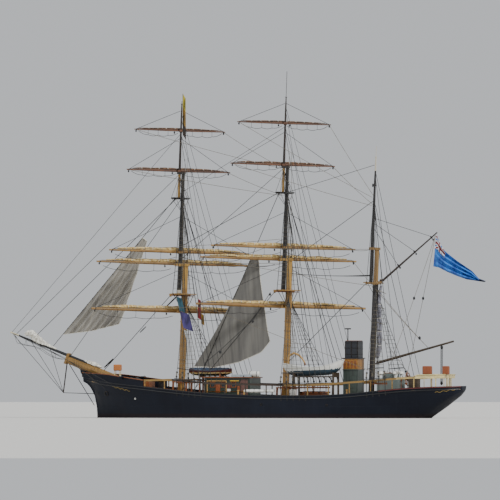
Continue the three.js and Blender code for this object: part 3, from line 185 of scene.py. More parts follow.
@dataclass(frozen=True)
class HullEnamel(Finish):
    """Gloss enamel over welded shell plates: dull blue-black with run-down streaks, dark red at the water."""

    worn: str = "0f1522"
    run: str = "20262f"
    boot_top: str = "1c1218"
    boot_top_worn: str = "120d13"
    boot_top_height: float = 0.4
    plate_length: float = 5500.0
    plate_height: float = 1150.0
    cloud: float = 2600.0
    streak: float = 420.0
    dent: float = 1300.0
    relief: float = 16.0

    def surface(self, add: Adder, place: Socket) -> Looks:
        """Stripes the shell by height, streaks it downwards and presses in the plates' seams."""
        cloud = add("TexNoise", {"Vector": place, "Scale": per_metre(self.cloud), "Detail": 4})
        down = add("Mapping", {"Vector": place, "Scale": Axis.Z.squeezed(0.06)})
        streak = add("TexNoise", {"Vector": down, "Scale": per_metre(self.streak), "Detail": 6})
        side = add("ValToRGB", (cloud,), stops=((0.3, self.colour), (0.75, self.worn)))
        runs = add("MapRange", (streak, 0.52, 0.8, 0, 0.3))
        side = add("Mix", {0: runs, 6: side, 7: self.run}, 2, data_type="RGBA")
        scum = add("TexNoise", {"Vector": place, "Scale": per_metre(500), "Detail": 6})
        low = add("ValToRGB", (scum,), stops=((0.3, self.boot_top_worn), (0.7, self.boot_top)))
        waver = add("TexNoise", {"Vector": place, "Scale": per_metre(900), "Detail": 4})
        waver = add("MapRange", (waver, 0, 1, -0.02, 0.02))
        height = add("Math", (add("SeparateXYZ", (place,), "Z"), waver), operation="ADD")
        edge = self.boot_top_height * MODEL_SCALE
        above = add("MapRange", (height, edge - 0.01, edge + 0.01))
        turned = add("Mapping", {"Vector": place, "Rotation": (math.radians(90), 0, 0)})
        seams = add("TexBrick", {
            "Vector": turned, "Scale": 1.0, "Mortar Size": 0.008, "Mortar Smooth": 0.6,
            "Brick Width": shrunk(self.plate_length), "Row Height": shrunk(self.plate_height)}, "Fac")
        dents = add("TexNoise", {"Vector": place, "Scale": per_metre(self.dent), "Detail": 2})
        pressed = add("Math", (seams, -0.6, dents), operation="MULTIPLY_ADD")
        return {
            "Base Color": add("Mix", {0: above, 6: low, 7: side}, 2, data_type="RGBA"),
            "Roughness": add("MapRange", (streak, 0.3, 0.8, 0.38, 0.6)),
            "Normal": add("Bump", {"Height": pressed, "Distance": shrunk(self.relief)}),
            "Specular IOR Level": 0.2,
        }


@dataclass(frozen=True)
class Planking(Finish):
    """Laid pine planks with pitch in their seams; the sun has greyed them unevenly."""

    worn: str = "c2a983"
    seam: str = "2a231b"
    plank_width: float = 130.0
    plank_length: float = 6500.0

    def surface(self, add: Adder, place: Socket) -> Looks:
        """Lays plank by plank, each of its own shade, with sunk seams and grain along it."""
        planks = add("TexBrick", {
            "Vector": place, "Color1": self.colour, "Color2": self.worn, "Mortar": self.seam, "Scale": 1.0,
            "Mortar Size": 0.004, "Brick Width": shrunk(self.plank_length),
            "Row Height": shrunk(self.plank_width)}, "Color")
        along = add("Mapping", {"Vector": place, "Scale": Axis.X.squeezed(0.05)})
        grain = add("TexNoise", {"Vector": along, "Scale": per_metre(30), "Detail": 6})
        shade = add("ValToRGB", (grain,), stops=((0.25, "8f8f8f"), (0.8, "ffffff")))
        sunk = add("Math", (planks.node.outputs["Fac"], -1.0, grain), operation="MULTIPLY_ADD")
        return {
            "Base Color": add("Mix", {0: 0.7, 6: planks, 7: shade}, 2, data_type="RGBA",
                              blend_type="MULTIPLY"),
            "Normal": add("Bump", {"Height": sunk, "Distance": shrunk(5)}),
        }


@dataclass(frozen=True)
class PaintedTimber(Finish):
    """Brushed oil paint or varnish on timber: grain shows faintly and edges and runs are duller."""

    worn: str = "8a6a3a"
    grain: float = 135.0
    cloud: float = 700.0
    along: Axis = Axis.Z
    turn: float = 0.0

    def surface(self, add: Adder, place: Socket) -> Looks:
        """Clouds the paint, draws the grain along the piece and roughens the worn places."""
        turned = add("Mapping", {"Vector": place, "Rotation": (0, 0, math.radians(self.turn))})
        drawn = add("Mapping", {"Vector": turned, "Scale": self.along.squeezed(0.05)})
        grain = add("TexNoise", {"Vector": drawn, "Scale": per_metre(self.grain), "Detail": 8})
        cloud = add("TexNoise", {"Vector": place, "Scale": per_metre(self.cloud), "Detail": 3})
        base = add("ValToRGB", (grain,), stops=((0.25, self.worn), (0.62, self.colour)))
        share = add("MapRange", (cloud, 0.35, 0.8, 0, 0.45))
        dull, glossy = self.roughness + 0.12, self.roughness - 0.08
        return {
            "Base Color": add("Mix", {0: share, 6: base, 7: self.worn}, 2, data_type="RGBA"),
            "Roughness": add("MapRange", (grain, 0.2, 0.8, dull, glossy)),
            "Normal": add("Bump", {"Height": grain, "Distance": shrunk(3)}),
        }


@dataclass(frozen=True)
class BandedPaint(Finish):
    """Oil paint on a spar or rail, in bands of different colours, with its grain showing through.

    bands list a real place and the colour from there on, start is where they begin, and steeve turns them
    with a spar that rises forward at that angle.
    """

    bands: tuple[tuple[float, str], ...] = ()
    axis: Axis = Axis.Z
    start: float = 0.0
    span: float = 40.0
    steeve: float = 0.0

    def surface(self, add: Adder, place: Socket) -> Looks:
        """Stripes the spar and lets grain and weather show through the paint."""
        leaning = add("Mapping", {"Vector": place, "Rotation": (0, math.radians(-self.steeve), 0)})
        way = add("SeparateXYZ", (leaning,), self.axis.name)
        share = add("MapRange", (way, self.start * MODEL_SCALE, (self.start + self.span) * MODEL_SCALE))
        stops = [(0.0, self.colour)] + [((at - self.start) / self.span, colour) for at, colour in self.bands]
        stripes = add("ValToRGB", (share,), stops=stops, striped=True)
        drawn = add("Mapping", {"Vector": place, "Scale": self.axis.squeezed(0.04)})
        grain = add("TexNoise", {"Vector": drawn, "Scale": per_metre(110), "Detail": 8})
        shade = add("ValToRGB", (grain,), stops=((0.28, "8c8c8c"), (0.65, "ffffff")))
        return {
            "Base Color": add("Mix", {0: 0.75, 6: stripes, 7: shade}, 2, data_type="RGBA",
                              blend_type="MULTIPLY"),
            "Normal": add("Bump", {"Height": grain, "Distance": shrunk(3)}),
        }


@dataclass(frozen=True)
class Cordage(Finish):
    """Laid rope or tarred wire; its lay is drawn three times as coarse as life, so that it shows."""

    light: str = "4a4640"
    lay: float = 360.0

    def surface(self, add: Adder, place: Socket) -> Looks:
        """Twists fine bands round the line and paints their crowns lighter as painted highlight."""
        leaning = add("Mapping", {"Vector": place, "Rotation": (0.6, 0.5, 0.3)})
        lay = add("TexWave", {"Vector": leaning, "Scale": per_metre(self.lay), "Distortion": 1.5}, "Fac")
        return {
            # Painted highlight: the lay's bands run from the rope's colour to its light colour.
            "Base Color": add("ValToRGB", (lay,), stops=((0.2, self.colour), (1.0, self.light))),
            "Normal": add("Bump", {"Height": lay, "Distance": shrunk(4)}),
        }


@dataclass(frozen=True)
class Canvas(Finish):
    """Woven flax canvas sewn from narrow cloths: matt, with painted shade and painted highlight streaked
    along its folds, and with doubled seams.

    lean is the angle of the cloths from upright, in degrees, forward at the top. The weave is drawn at 30 mm,
    far coarser than life, so that it shows.
    """

    shade: str = "77746b"
    light: str = "cfcabb"
    lean: float = 0.0
    cloth_width: float = 610.0
    streak: float = 260.0

    def surface(self, add: Adder, place: Socket) -> Looks:
        """Streaks painted shade and painted highlight along its cloths, darkens the seams and raises folds
        and weave.
        """
        along = add("Mapping", {"Vector": place, "Rotation": (0, math.radians(self.lean), 0)})
        drawn = add("Mapping", {"Vector": along, "Scale": (1, 0.6, 0.05)})
        streaks = add("TexNoise", {"Vector": drawn, "Scale": per_metre(self.streak), "Detail": 6})
        # Painted shade and painted highlight: the streaks run from the shade colour through the cloth's
        # colour to the light one.
        stops = ((0.3, self.shade), (0.5, self.colour), (0.72, self.light))
        colour = add("ValToRGB", (streaks,), stops=stops)
        waves = per_metre(self.cloth_width) * math.tau / 20
        seams = add("TexWave", {"Vector": along, "Scale": waves}, "Fac", bands_direction="X")
        seams = add("MapRange", (seams, 0.0, 0.05, 0.35, 0.0))
        weave = add("TexNoise", {"Vector": place, "Scale": per_metre(30), "Detail": 2})
        folds = add("Math", (streaks, 3.0, weave), operation="MULTIPLY_ADD")
        return {
            "Base Color": add("Mix", {0: seams, 6: colour, 7: self.shade}, 2, data_type="RGBA"),
            "Normal": add("Bump", {"Height": folds, "Distance": shrunk(7)}),
            "Sheen Weight": 0.25,
        }


@dataclass(frozen=True)
class Crumpled(Finish):
    """Cloth rolled up and lashed: creases run along the roll, with painted shade in the hollows."""

    shade: str = "8b7a55"
    crease: float = 170.0

    def surface(self, add: Adder, place: Socket) -> Looks:
        """Paints shade into the creases and raises what lies between them."""
        creases = add("TexNoise", {"Vector": place, "Scale": per_metre(self.crease), "Detail": 7})
        fine = add("TexNoise", {"Vector": place, "Scale": per_metre(35), "Detail": 3})
        lumps = add("Math", (creases, 4.0, fine), operation="MULTIPLY_ADD")
        return {
            # Painted shade: the hollows between the lumps take the darker shade colour.
            "Base Color": add("ValToRGB", (creases,), stops=((0.35, self.shade), (0.58, self.colour))),
            "Normal": add("Bump", {"Height": lumps, "Distance": shrunk(14)}),
            "Sheen Weight": 0.2,
        }


@dataclass(frozen=True)
class Enamel(Finish):
    """Brushed gloss enamel: nearly even, with soft dirt and an orange-peel skin drawn at 25 mm to show."""

    dirt: str = "5a5a55"
    amount: float = 0.35

    def surface(self, add: Adder, place: Socket) -> Looks:
        """Dirties the paint downwards and gives it its fine skin."""
        down = add("Mapping", {"Vector": place, "Scale": Axis.Z.squeezed(0.25)})
        dirt = add("TexNoise", {"Vector": down, "Scale": per_metre(340), "Detail": 7})
        share = add("MapRange", (dirt, 0.45, 0.8, 0.0, self.amount))
        skin = add("TexNoise", {"Vector": place, "Scale": per_metre(25), "Detail": 2})
        return {
            "Base Color": add("Mix", {0: share, 6: self.colour, 7: self.dirt}, 2, data_type="RGBA"),
            "Normal": add("Bump", {"Height": skin, "Distance": shrunk(0.8)}),
        }


@dataclass(frozen=True)
class Mottled(Finish):
    """A surface whose one uneven pattern shows both in its colour and in its relief.

    second is the colour of its high places and change says where the colours change. pattern, detail and
    relief are the pattern's size, its fineness and its depth.
    """

    second: str = "4b4038"
    change: tuple[float, float] = (0.45, 0.75)
    pattern: float = 60.0
    detail: float = 6.0
    relief: float = 5.0

    def surface(self, add: Adder, place: Socket) -> Looks:
        """Colours and raises the surface by its pattern."""
        pattern = add("TexNoise", {"Vector": place, "Scale": per_metre(self.pattern), "Detail": self.detail})
        stops = tuple(zip(self.change, (self.colour, self.second)))
        return {
            "Base Color": add("ValToRGB", (pattern,), stops=stops),
            "Normal": add("Bump", {"Height": pattern, "Distance": shrunk(self.relief)}),
        }


@dataclass(frozen=True)
class Bunting(Finish):
    """Thin worsted flag cloth: matt, with painted shade where it is folded, its threads drawn at 20 mm to
    show.
    """

    fold: str = "12306e"

    def surface(self, add: Adder, place: Socket) -> Looks:
        """Paints shade into the folds and raises the threads."""
        slanted = add("Mapping", {"Vector": place, "Rotation": (0, 0.7, 0), "Scale": Axis.Z.squeezed(0.5)})
        folds = add("TexNoise", {"Vector": slanted, "Scale": per_metre(420), "Detail": 4})
        threads = add("TexNoise", {"Vector": place, "Scale": per_metre(20), "Detail": 1})
        return {
            # Painted shade: the folds take the darker fold colour.
            "Base Color": add("ValToRGB", (folds,), stops=((0.35, self.fold), (0.58, self.colour))),
            "Normal": add("Bump", {"Height": threads, "Distance": shrunk(1)}),
        }


# Alkyd enamel on steel plates: a soft sheen runs along the black side and breaks at the plates' seams.
HULL = HullEnamel("hull_black_enamel", "070b18", 0.42)
# Scrubbed pine: pale planks between dark seams.
DECK = Planking("laid_pine_deck", "9c8159", 0.75)
# Buff oil paint on pine spars, golden in the light, brown where it has weathered.
BUFF = PaintedTimber("buff_spar_paint", "96733a", 0.5, worn="6e4f28")
# Tar and dark paint: the gaff and the boom read as dark lines with a dull grain.
DARK_SPAR = PaintedTimber("tarred_spar_timber", "33261f", 0.55, worn="1f1713", along=Axis.X)
DARK_BOOM = PaintedTimber("dark_boom_timber", "443726", 0.55, worn="2a2119", along=Axis.X)
# The rail is golden at the bow and quarter, dark between, and pale round the stern.
RAIL_BANDS = ((-8.05, "3a2b20"), (3.4, "94743c"), (14.6, "b89f66"), (16.3, "dccb90"))
RAIL = BandedPaint("weathered_rail_paint", "9c7a3c", 0.45, axis=Axis.X, start=-25, span=50, bands=RAIL_BANDS)
# The bowsprit is dark outboard and golden at its heel.
BOWSPRIT = BandedPaint("bowsprit_paint", "2c211a", 0.5, start=-20, steeve=20.8, bands=((-2.36, "8d6b34"),))
# The jibboom is pale with a black end.
JIBBOOM = BandedPaint("jibboom_paint", "cfc4a2", 0.5, axis=Axis.X, start=-30, bands=((-25.2, "16171b"),))
# The lower masts are golden, their topmasts black with a white band, their poles buff and dark above.
LOWER_MAST = BandedPaint("lower_mast_paint", "a07838", 0.45, bands=((2.0, "a07838"), (12.4, "b28a44")))
FORE_TOPMAST = BandedPaint("fore_topmast_paint", "1c1a19", 0.5, bands=((11.95, "e8e2cf"), (12.3, "1d1a18")))
MAIN_TOPMAST = BandedPaint("main_topmast_paint", "1c1a19", 0.5, bands=((11.0, "1f1c1a"),))
FORE_POLE = BandedPaint("fore_pole_paint", "1c1a19", 0.5, bands=((21.1, "a07c3e"), (23.7, "2b2019")))
MAIN_POLE = BandedPaint("main_pole_paint", "1c1a19", 0.5, bands=((21.6, "a07c3e"), (24.25, "2b2019")))
MIZZEN_LOWER = BandedPaint("mizzen_lower_paint", "262120", 0.5, bands=((12.7, "8f6f3f"),))
MIZZEN_TOP = BandedPaint("mizzen_topmast_paint", "1c1a19", 0.5, bands=((14.0, "1f1c1b"), (23.7, "cfc6b0")))
# The charthouse is painted steel below and varnished oak above.
CHART_WALLS = BandedPaint("charthouse_wall_paint", "4c5a53", 0.45, bands=((2.0, "3b4741"), (4.68, "a9762c")))
# Varnished spruce of the yards, braced at 50 degrees, so the grain is turned with them.
YARD = PaintedTimber("varnished_yard_spruce", "9c7840", 0.45, worn="5c4024", along=Axis.Y, turn=50)
THIN_YARD = PaintedTimber("oiled_upper_yard_spruce", "6f4a34", 0.55, worn="38241a", along=Axis.Y, turn=50)
# Oiled or varnished joinery: warm red-brown and amber with a straight grain.
TEAK = PaintedTimber("oiled_teak", "8d4f22", 0.5, worn="54301a", along=Axis.X)
PANEL = PaintedTimber("varnished_oak_panel", "b07a2c", 0.4, worn="7c4e1a")
DOOR = PaintedTimber("red_brown_door_paint", "6b4a42", 0.5, worn="4a322c")
# Brushed enamels: even colours with a soft shine and a little dirt running down.
GREEN = Enamel("deep_green_enamel", "182a21", 0.4, dirt="2f3f33")
GREY_GREEN = Enamel("grey_green_enamel", "3b4741", 0.5, dirt="2a332e")
TRUNK_GREY = Enamel("grey_trunk_paint", "5f6a67", 0.55, dirt="454c48")
WHITE = Enamel("white_enamel", "dcdcd6", 0.38, dirt="9a978c")
CREAM = Enamel("cream_enamel", "d9c58c", 0.42, dirt="a08a55")
BLACK = Enamel("black_enamel", "14161a", 0.42, dirt="2c2c2c")
BLUE_BLACK = Enamel("blue_black_enamel", "0f141d", 0.45, dirt="2a3140")
RED = Enamel("red_lead_enamel", "5f2420", 0.45, dirt="3c1a17")
TAN = Enamel("golden_tan_enamel", "b08a50", 0.45, dirt="7d6136")
PALE_GREY = Enamel("pale_grey_enamel", "9aa3a8", 0.45, dirt="6d7478")
# Painted shade: the longboat's lower side, coloured dark blue-green where shade falls on it.
LONGBOAT_PAINTED_SHADE = Enamel("blue_green_bottom_paint", "2a4150", 0.5, dirt="1b2c36")
ORANGE = Enamel("orange_float_shell", "84431f", 0.5, dirt="6e3518")
GILT = Enamel("dull_gilt_paint", "7a6634", 0.45, dirt="4c4226")
AMBER = Enamel("amber_box_enamel", "b06a30", 0.5, dirt="7c4620")
YELLOW = Enamel("yellow_enamel", "cfa93a", 0.45, dirt="8f7226")
FLOOR = Enamel("matt_floor_paint", "d6d4cf", 0.9, dirt="cfcdc8", amount=0.15)
# Tarred wire is nearly black with a thin painted highlight along its lay; hemp is grey-brown and dull; new
# rope is pale.
WIRE = Cordage("tarred_wire_rope", "0e0e10", 0.6, light="2e2c2a")
HEMP = Cordage("weathered_hemp_rope", "4c463c", 0.85, light="7c7464")
PALE_ROPE = Cordage("new_white_rope", "b9b4a4", 0.85, light="dcd8ca")
# Forged and cast metal: pitted, its colour rubbed through on the high places.
IRON = Mottled("forged_ironwork", "17181a", 0.5, 0.6)
BRONZE = Mottled("cast_bronze", "7d5a2a", 0.35, 1.0, second="a67c3d", pattern=140)
# A thick pane before a dark room: near black, glossy and slightly wavy.
GLASS = Mottled("window_glass", "0c1114", 0.08, second="26333a", change=(0.3, 0.8), pattern=400, detail=2,
                relief=4)
# Flax canvas hung to dry: grey and matt, its folds streaked with painted shade.
JIB_CANVAS = Canvas("jib_canvas", "87837a", 0.9, lean=-24, shade="716d68", light="9b968b")
STAYSAIL_CANVAS = Canvas("staysail_canvas", "66645f", 0.9, lean=4, shade="565451", light="72706a", streak=420)
# Rolled canvas: pale on its lumps and brown in its creases, the brown being painted shade; the upper sails
# have weathered brown.
STOWED = Crumpled("stowed_sail_canvas", "cdb47a", 0.9, shade="8c6f3c")
BROWN_STOWED = Crumpled("weathered_upper_sail_canvas", "6f5138", 0.9, shade="3c2a1e")
WHITE_STOWED = Crumpled("white_headsail_canvas", "f0ede2", 0.9, shade="a29e90")
GREY_STOWED = Crumpled("grey_spanker_canvas", "74737b", 0.9, shade="403f47", crease=320.0)
COVER = Crumpled("boat_cover_canvas", "4b678c", 0.85, shade="2c3f58", crease=260.0)
# Worsted flag cloth: clear colours, with painted shade in the folds.
BLUE = Bunting("blue_bunting", "2f74c4", 0.7, fold="173f8c")
NAVY = Bunting("navy_bunting", "16264c", 0.7, fold="0c1630")
WHITE_BUNTING = Bunting("white_bunting", "e2e4e4", 0.7, fold="9aa2ac")
RED_BUNTING = Bunting("red_bunting", "8e1c24", 0.7, fold="4c1015")
INDIGO = Bunting("indigo_bunting", "453b74", 0.7, fold="241d48")
TEAL_BUNTING = Bunting("teal_bunting", "2a5664", 0.7, fold="17343e")
OLIVE = Bunting("olive_bunting", "8a6a24", 0.7, fold="4f3b14")
YELLOW_BUNTING = Bunting("yellow_bunting", "b3a63e", 0.7, fold="6f6424")
DARK_BUNTING = Bunting("dark_bunting", "33251a", 0.7, fold="17110d")


# Ropes thinner than this radius are drawn about a third thicker than life, so that they show.
THIN_LINE = 0.026
THIN_LINE_SHOWN = 1.3


def sides_of(count: int, radius: float) -> list[tuple[float, float]]:
    """Gives the corners of a regular outline round the origin."""
    turns = [i * math.tau / count for i in range(count)]
    return [(radius * math.cos(turn), radius * math.sin(turn)) for turn in turns]


def about(axis: str, degrees: float, at: Row = (0, 0, 0)) -> Matrix:
    """Gives a place: moved to a point and turned about one axis there."""
    return Matrix.Translation(at) @ Matrix.Rotation(math.radians(degrees), 4, axis)


def evenly(start: float, end: float, steps: int) -> list[float]:
    """Gives steps + 1 even values from start to end."""
    return [start + (end - start) * i / steps for i in range(steps + 1)]


def swept(path: Sequence[Row], section: Callable[[int], Sequence[tuple[float, float]]]) -> list[list[Vector]]:
    """Stands an outline across a level line at each of its points.

    Args:
        path: the line's points, x and y first.
        section: gives the outline at a point's number: how far beside the line, and the height.

    Returns:
        The outline at each point.
    """
    rings = []
    for i, point in enumerate(path):
        before, after = path[max(i - 1, 0)], path[min(i + 1, len(path) - 1)]
        along = Vector((after[0] - before[0], after[1] - before[1], 0)).normalized()
        beside = Vector((-along.y, along.x, 0))
        rings.append([Vector((point[0], point[1], z)) + beside * w for w, z in section(i)])
    return rings


class MeshDraft:
    """Gathers closed bodies in real metres, then makes one object of the half-size model from them."""

    BLOCK_PROFILE = ((0.01, -1.3), (0.55, -1.0), (0.95, -0.3), (0.95, 0.35), (0.5, 1.05), (0.01, 1.35))

    def __init__(self, name: str, *finishes: Finish) -> None:
        """Names the piece and lists its finishes; bodies choose among them by number."""
        self.name = name
        self.finishes = finishes
        self.points: list[Vector] = []
        self.faces: list[Face] = []
        self.slots: list[int] = []

    def add(self, points: Sequence[Row], faces: Sequence[Face], slot: int | Sequence[int] = 0,
            place: Matrix | None = None) -> None:
        """Adds a body by its points and faces, in a place."""
        start = len(self.points)
        self.points.extend(place @ Vector(p) if place else Vector(p) for p in points)
        self.faces.extend(tuple(start + i for i in face) for face in faces)
        self.slots.extend([slot] * len(faces) if isinstance(slot, int) else slot)

    def rings(self, rings: Sequence[Sequence[Row]], slot: int = 0,
              slots: Callable[[int, int], int] | None = None) -> None:
        """Adds a closed skin over rings of equally many points, its ends filled.

        Args:
            rings: the outlines, each turning the same way.
            slot: the finish of all faces.
            slots: the finish by ring and point, where it changes.
        """
        count = len(rings[0])
        last = (len(rings) - 1) * count
        faces: list[Face] = []
        kinds: list[int] = []
        for r, i in product(range(len(rings) - 1), range(count)):
            a, b = r * count + i, r * count + (i + 1) % count
            faces.append((a, b, b + count, a + count))
            kinds.append(slots(r, i) if slots else slot)
        faces += [tuple(range(count))[::-1], tuple(range(last, last + count))]
        self.add([p for ring in rings for p in ring], faces, kinds + [kinds[0], kinds[-1]])

    def tube(self, path: Sequence[Row], radius: float | Row, sides: int = 6, slot: int = 0) -> None:
        """Adds a round bar or line along a path, of one radius or one for each point."""
        line = [Vector(p) for p in path]
        radii = [radius] * len(line) if isinstance(radius, (int, float)) else list(radius)
        radii = [r * THIN_LINE_SHOWN if r < THIN_LINE else r for r in radii]
        reach = line[-1] - line[0]
        aside = reach.orthogonal() if reach.length > 1e-6 else Vector((0, 0, 1))
        rings = []
        for i, point in enumerate(line):
            along = (line[min(i + 1, len(line) - 1)] - line[max(i - 1, 0)]).normalized()
            aside = (aside - along * aside.dot(along)).normalized()
            second = along.cross(aside)
            rings.append([point + aside * c + second * s for c, s in sides_of(sides, radii[i])])
        self.rings(rings, slot)

    def turned(self, place: Matrix, profile: Sequence[Row], sides: int = 16, slot: int = 0) -> None:
        """Adds a turned shape standing in a place; the profile lists radius and height."""
        outlines = [[(x, y, z) for x, y in sides_of(sides, max(r, 1e-3))] for r, z in profile]
        self.rings([[place @ Vector(p) for p in outline] for outline in outlines], slot)

    def hoop(self, place: Matrix, inner: float, outer: float, half: float, sides: int, slot: int,
             chamfer: float = 0.01) -> None:
        """Adds a hoop or wheel of that half-width, its outer edges planed off."""
        flat = half - chamfer
        self.turned(place, ((inner, -half), (outer, -flat), (outer, flat), (inner, half)), sides, slot)

    def block(self, corner: Row, opposite: Row, slot: int = 0, place: Matrix | None = None,
              chamfer: float = 0.015) -> None:
        """Adds a box between two opposite corners, its edges planed off."""
        low = Vector([min(pair) for pair in zip(corner, opposite)])
        high = Vector([max(pair) for pair in zip(corner, opposite)])
        cut = min(chamfer, *((high - low) / 3))
        corners = list(product((0, 1), repeat=3))
        points: list[Vector] = []
        where: dict[tuple[Face, int], int] = {}
        for at, kept in product(corners, range(3)):
            inward = [0 if k == kept else -cut if at[k] else cut for k in range(3)]
            where[at, kept] = len(points)
            points.append(Vector([(high if at[k] else low)[k] + inward[k] for k in range(3)]))
        groups = [[where[at, k] for at in corners if at[k] == s] for k, s in product(range(3), (0, 1))]
        groups += [[where[at, k] for k in range(3)] for at in corners]
        for a, b in product(corners, corners):
            differing = [k for k in range(3) if a[k] < b[k]]
            if sum(a) + 1 == sum(b) and len(differing) == 1:
                groups.append([where[at, k] for at in (a, b) for k in range(3) if k != differing[0]])
        middle = (low + high) / 2
        faces = []
        for group in groups:
            centre = sum((points[i] for i in group), Vector()) / len(group)
            first = (points[group[0]] - centre).normalized()
            second = (centre - middle).cross(first).normalized()
            offs = {i: points[i] - centre for i in group}
            turns = {i: math.atan2(off.dot(second), off.dot(first)) for i, off in offs.items()}
            faces.append(tuple(sorted(group, key=turns.get)))
        self.add(points, faces, slot, place)

    def slab(self, outline: Sequence[tuple[float, float]], low: float, high: float, slot: int = 0,
             place: Matrix | None = None) -> None:
        """Adds a plate: an outline in x and y between two heights."""
        flat = [Vector((x, y, 0)) for x, y in outline]
        count = len(flat)
        points = [Vector((p.x, p.y, z)) for z in (low, high) for p in flat]
        area = sum(flat[i - 1].x * p.y - p.x * flat[i - 1].y for i, p in enumerate(flat))
        faces: list[Face] = []
        for a, b, c in tessellate_polygon([flat]):
            if (flat[b] - flat[a]).cross(flat[c] - flat[a]).z < 0:
                b, c = c, b
            faces += [(a, c, b), (a + count, b + count, c + count)]
        for i in range(count):
            a, b = (i, (i + 1) % count) if area > 0 else ((i + 1) % count, i)
            faces.append((a, b, b + count, a + count))
        self.add(points, faces, slot, place)

    def pulley(self, at: Row, size: float, slot: int) -> None:
        """Adds a rope block: an egg-shaped shell standing on end."""
        place = Matrix.Translation(at) @ Matrix.Diagonal((size, size * 0.62, size, 1))
        self.turned(place, self.BLOCK_PROFILE, 8, slot)

    def make(self, body: str | None = HULL_BODY, crease: float = 35.0, replaces: Sequence[str] = ()) -> bpy.types.Object:
        """Makes the object, in its place on a body.

        Args:
            body: the CAD body it rides on, or None for the lines that blend makes and for the stage.
            crease: the angle in degrees from which an edge shows sharp.
            replaces: the CAD nodes that it stands for.

        Returns:
            The new object.
        """
        mesh = bpy.data.meshes.new(self.name)
        mesh.from_pydata([p * MODEL_SCALE for p in self.points], [], self.faces)
        for finish in self.finishes:
            mesh.materials.append(finish.material())
        mesh.polygons.foreach_set("material_index", self.slots)
        mesh.polygons.foreach_set("use_smooth", [True] * len(self.faces))
        mesh.update()
        mesh.set_sharp_from_angle(angle=math.radians(crease))
        made = bpy.data.objects.new(self.name, mesh)
        bpy.context.scene.collection.objects.link(made)
        if body:
            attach(made, body)
        if replaces:
            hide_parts(*replaces)
        log.info("%s: %d faces", self.name, len(self.faces))
        return made

    def blend(self, body: str, start: Vector, end: Vector) -> None:
        """Makes the line as a still object in the ship's frame, on no body."""
        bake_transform(self.make(None))


def sagging(a: Vector, b: Vector, sag: float, steps: int = 8) -> list[Vector]:
    """Gives a line from a to b that hangs down by sag at its middle."""
    return [a.lerp(b, t) - Vector((0, 0, 4 * sag * t * (1 - t))) for t in evenly(0, 1, steps)]


def at_height(a: Vector, b: Vector, z: float) -> Vector:
    """Gives the point of the line from a to b at a height."""
    return a.lerp(b, (z - a.z) / (b.z - a.z))


def straight(table: Sequence[tuple[float, float]], x: float) -> float:
    """Reads a table of x and value along straight lines, held at its ends."""
    if x <= table[0][0]:
        return table[0][1]
    for (x0, v0), (x1, v1) in zip(table, table[1:]):
        if x <= x1:
            return v0 + (v1 - v0) * (x - x0) / (x1 - x0)
    return table[-1][1]


def curve_through(table: Sequence[Row], x: float) -> list[float]:
    """Reads a table of rows that start with x, smoothly between them; gives the row's other values."""
    after_x = next((k for k, row in enumerate(table) if row[0] > x), len(table))
    i = max(0, min(len(table) - 2, after_x - 1))
    before, low, high, after = table[max(i - 1, 0)], table[i], table[i + 1], table[min(i + 2, len(table) - 1)]
    width = high[0] - low[0]
    t = max(0.0, min(1.0, (x - low[0]) / width))
    values = []
    for k in range(1, len(low)):
        slope_low = (high[k] - before[k]) / max(high[0] - before[0], 1e-6) * width
        slope_high = (after[k] - low[k]) / max(after[0] - low[0], 1e-6) * width
        values.append((2 * t ** 3 - 3 * t ** 2 + 1) * low[k] + (t ** 3 - 2 * t ** 2 + t) * slope_low
                      + (3 * t ** 2 - 2 * t ** 3) * high[k] + (t ** 3 - t ** 2) * slope_high)
    return values


@dataclass(frozen=True)
class Station:
    """One cross-section of the hull, in the columns of the hull's table after x."""

    keel: float
    mid: float
    rim: float
    y_mid: float
    y_rim: float
    full: float
    hollow: float
    flare: float


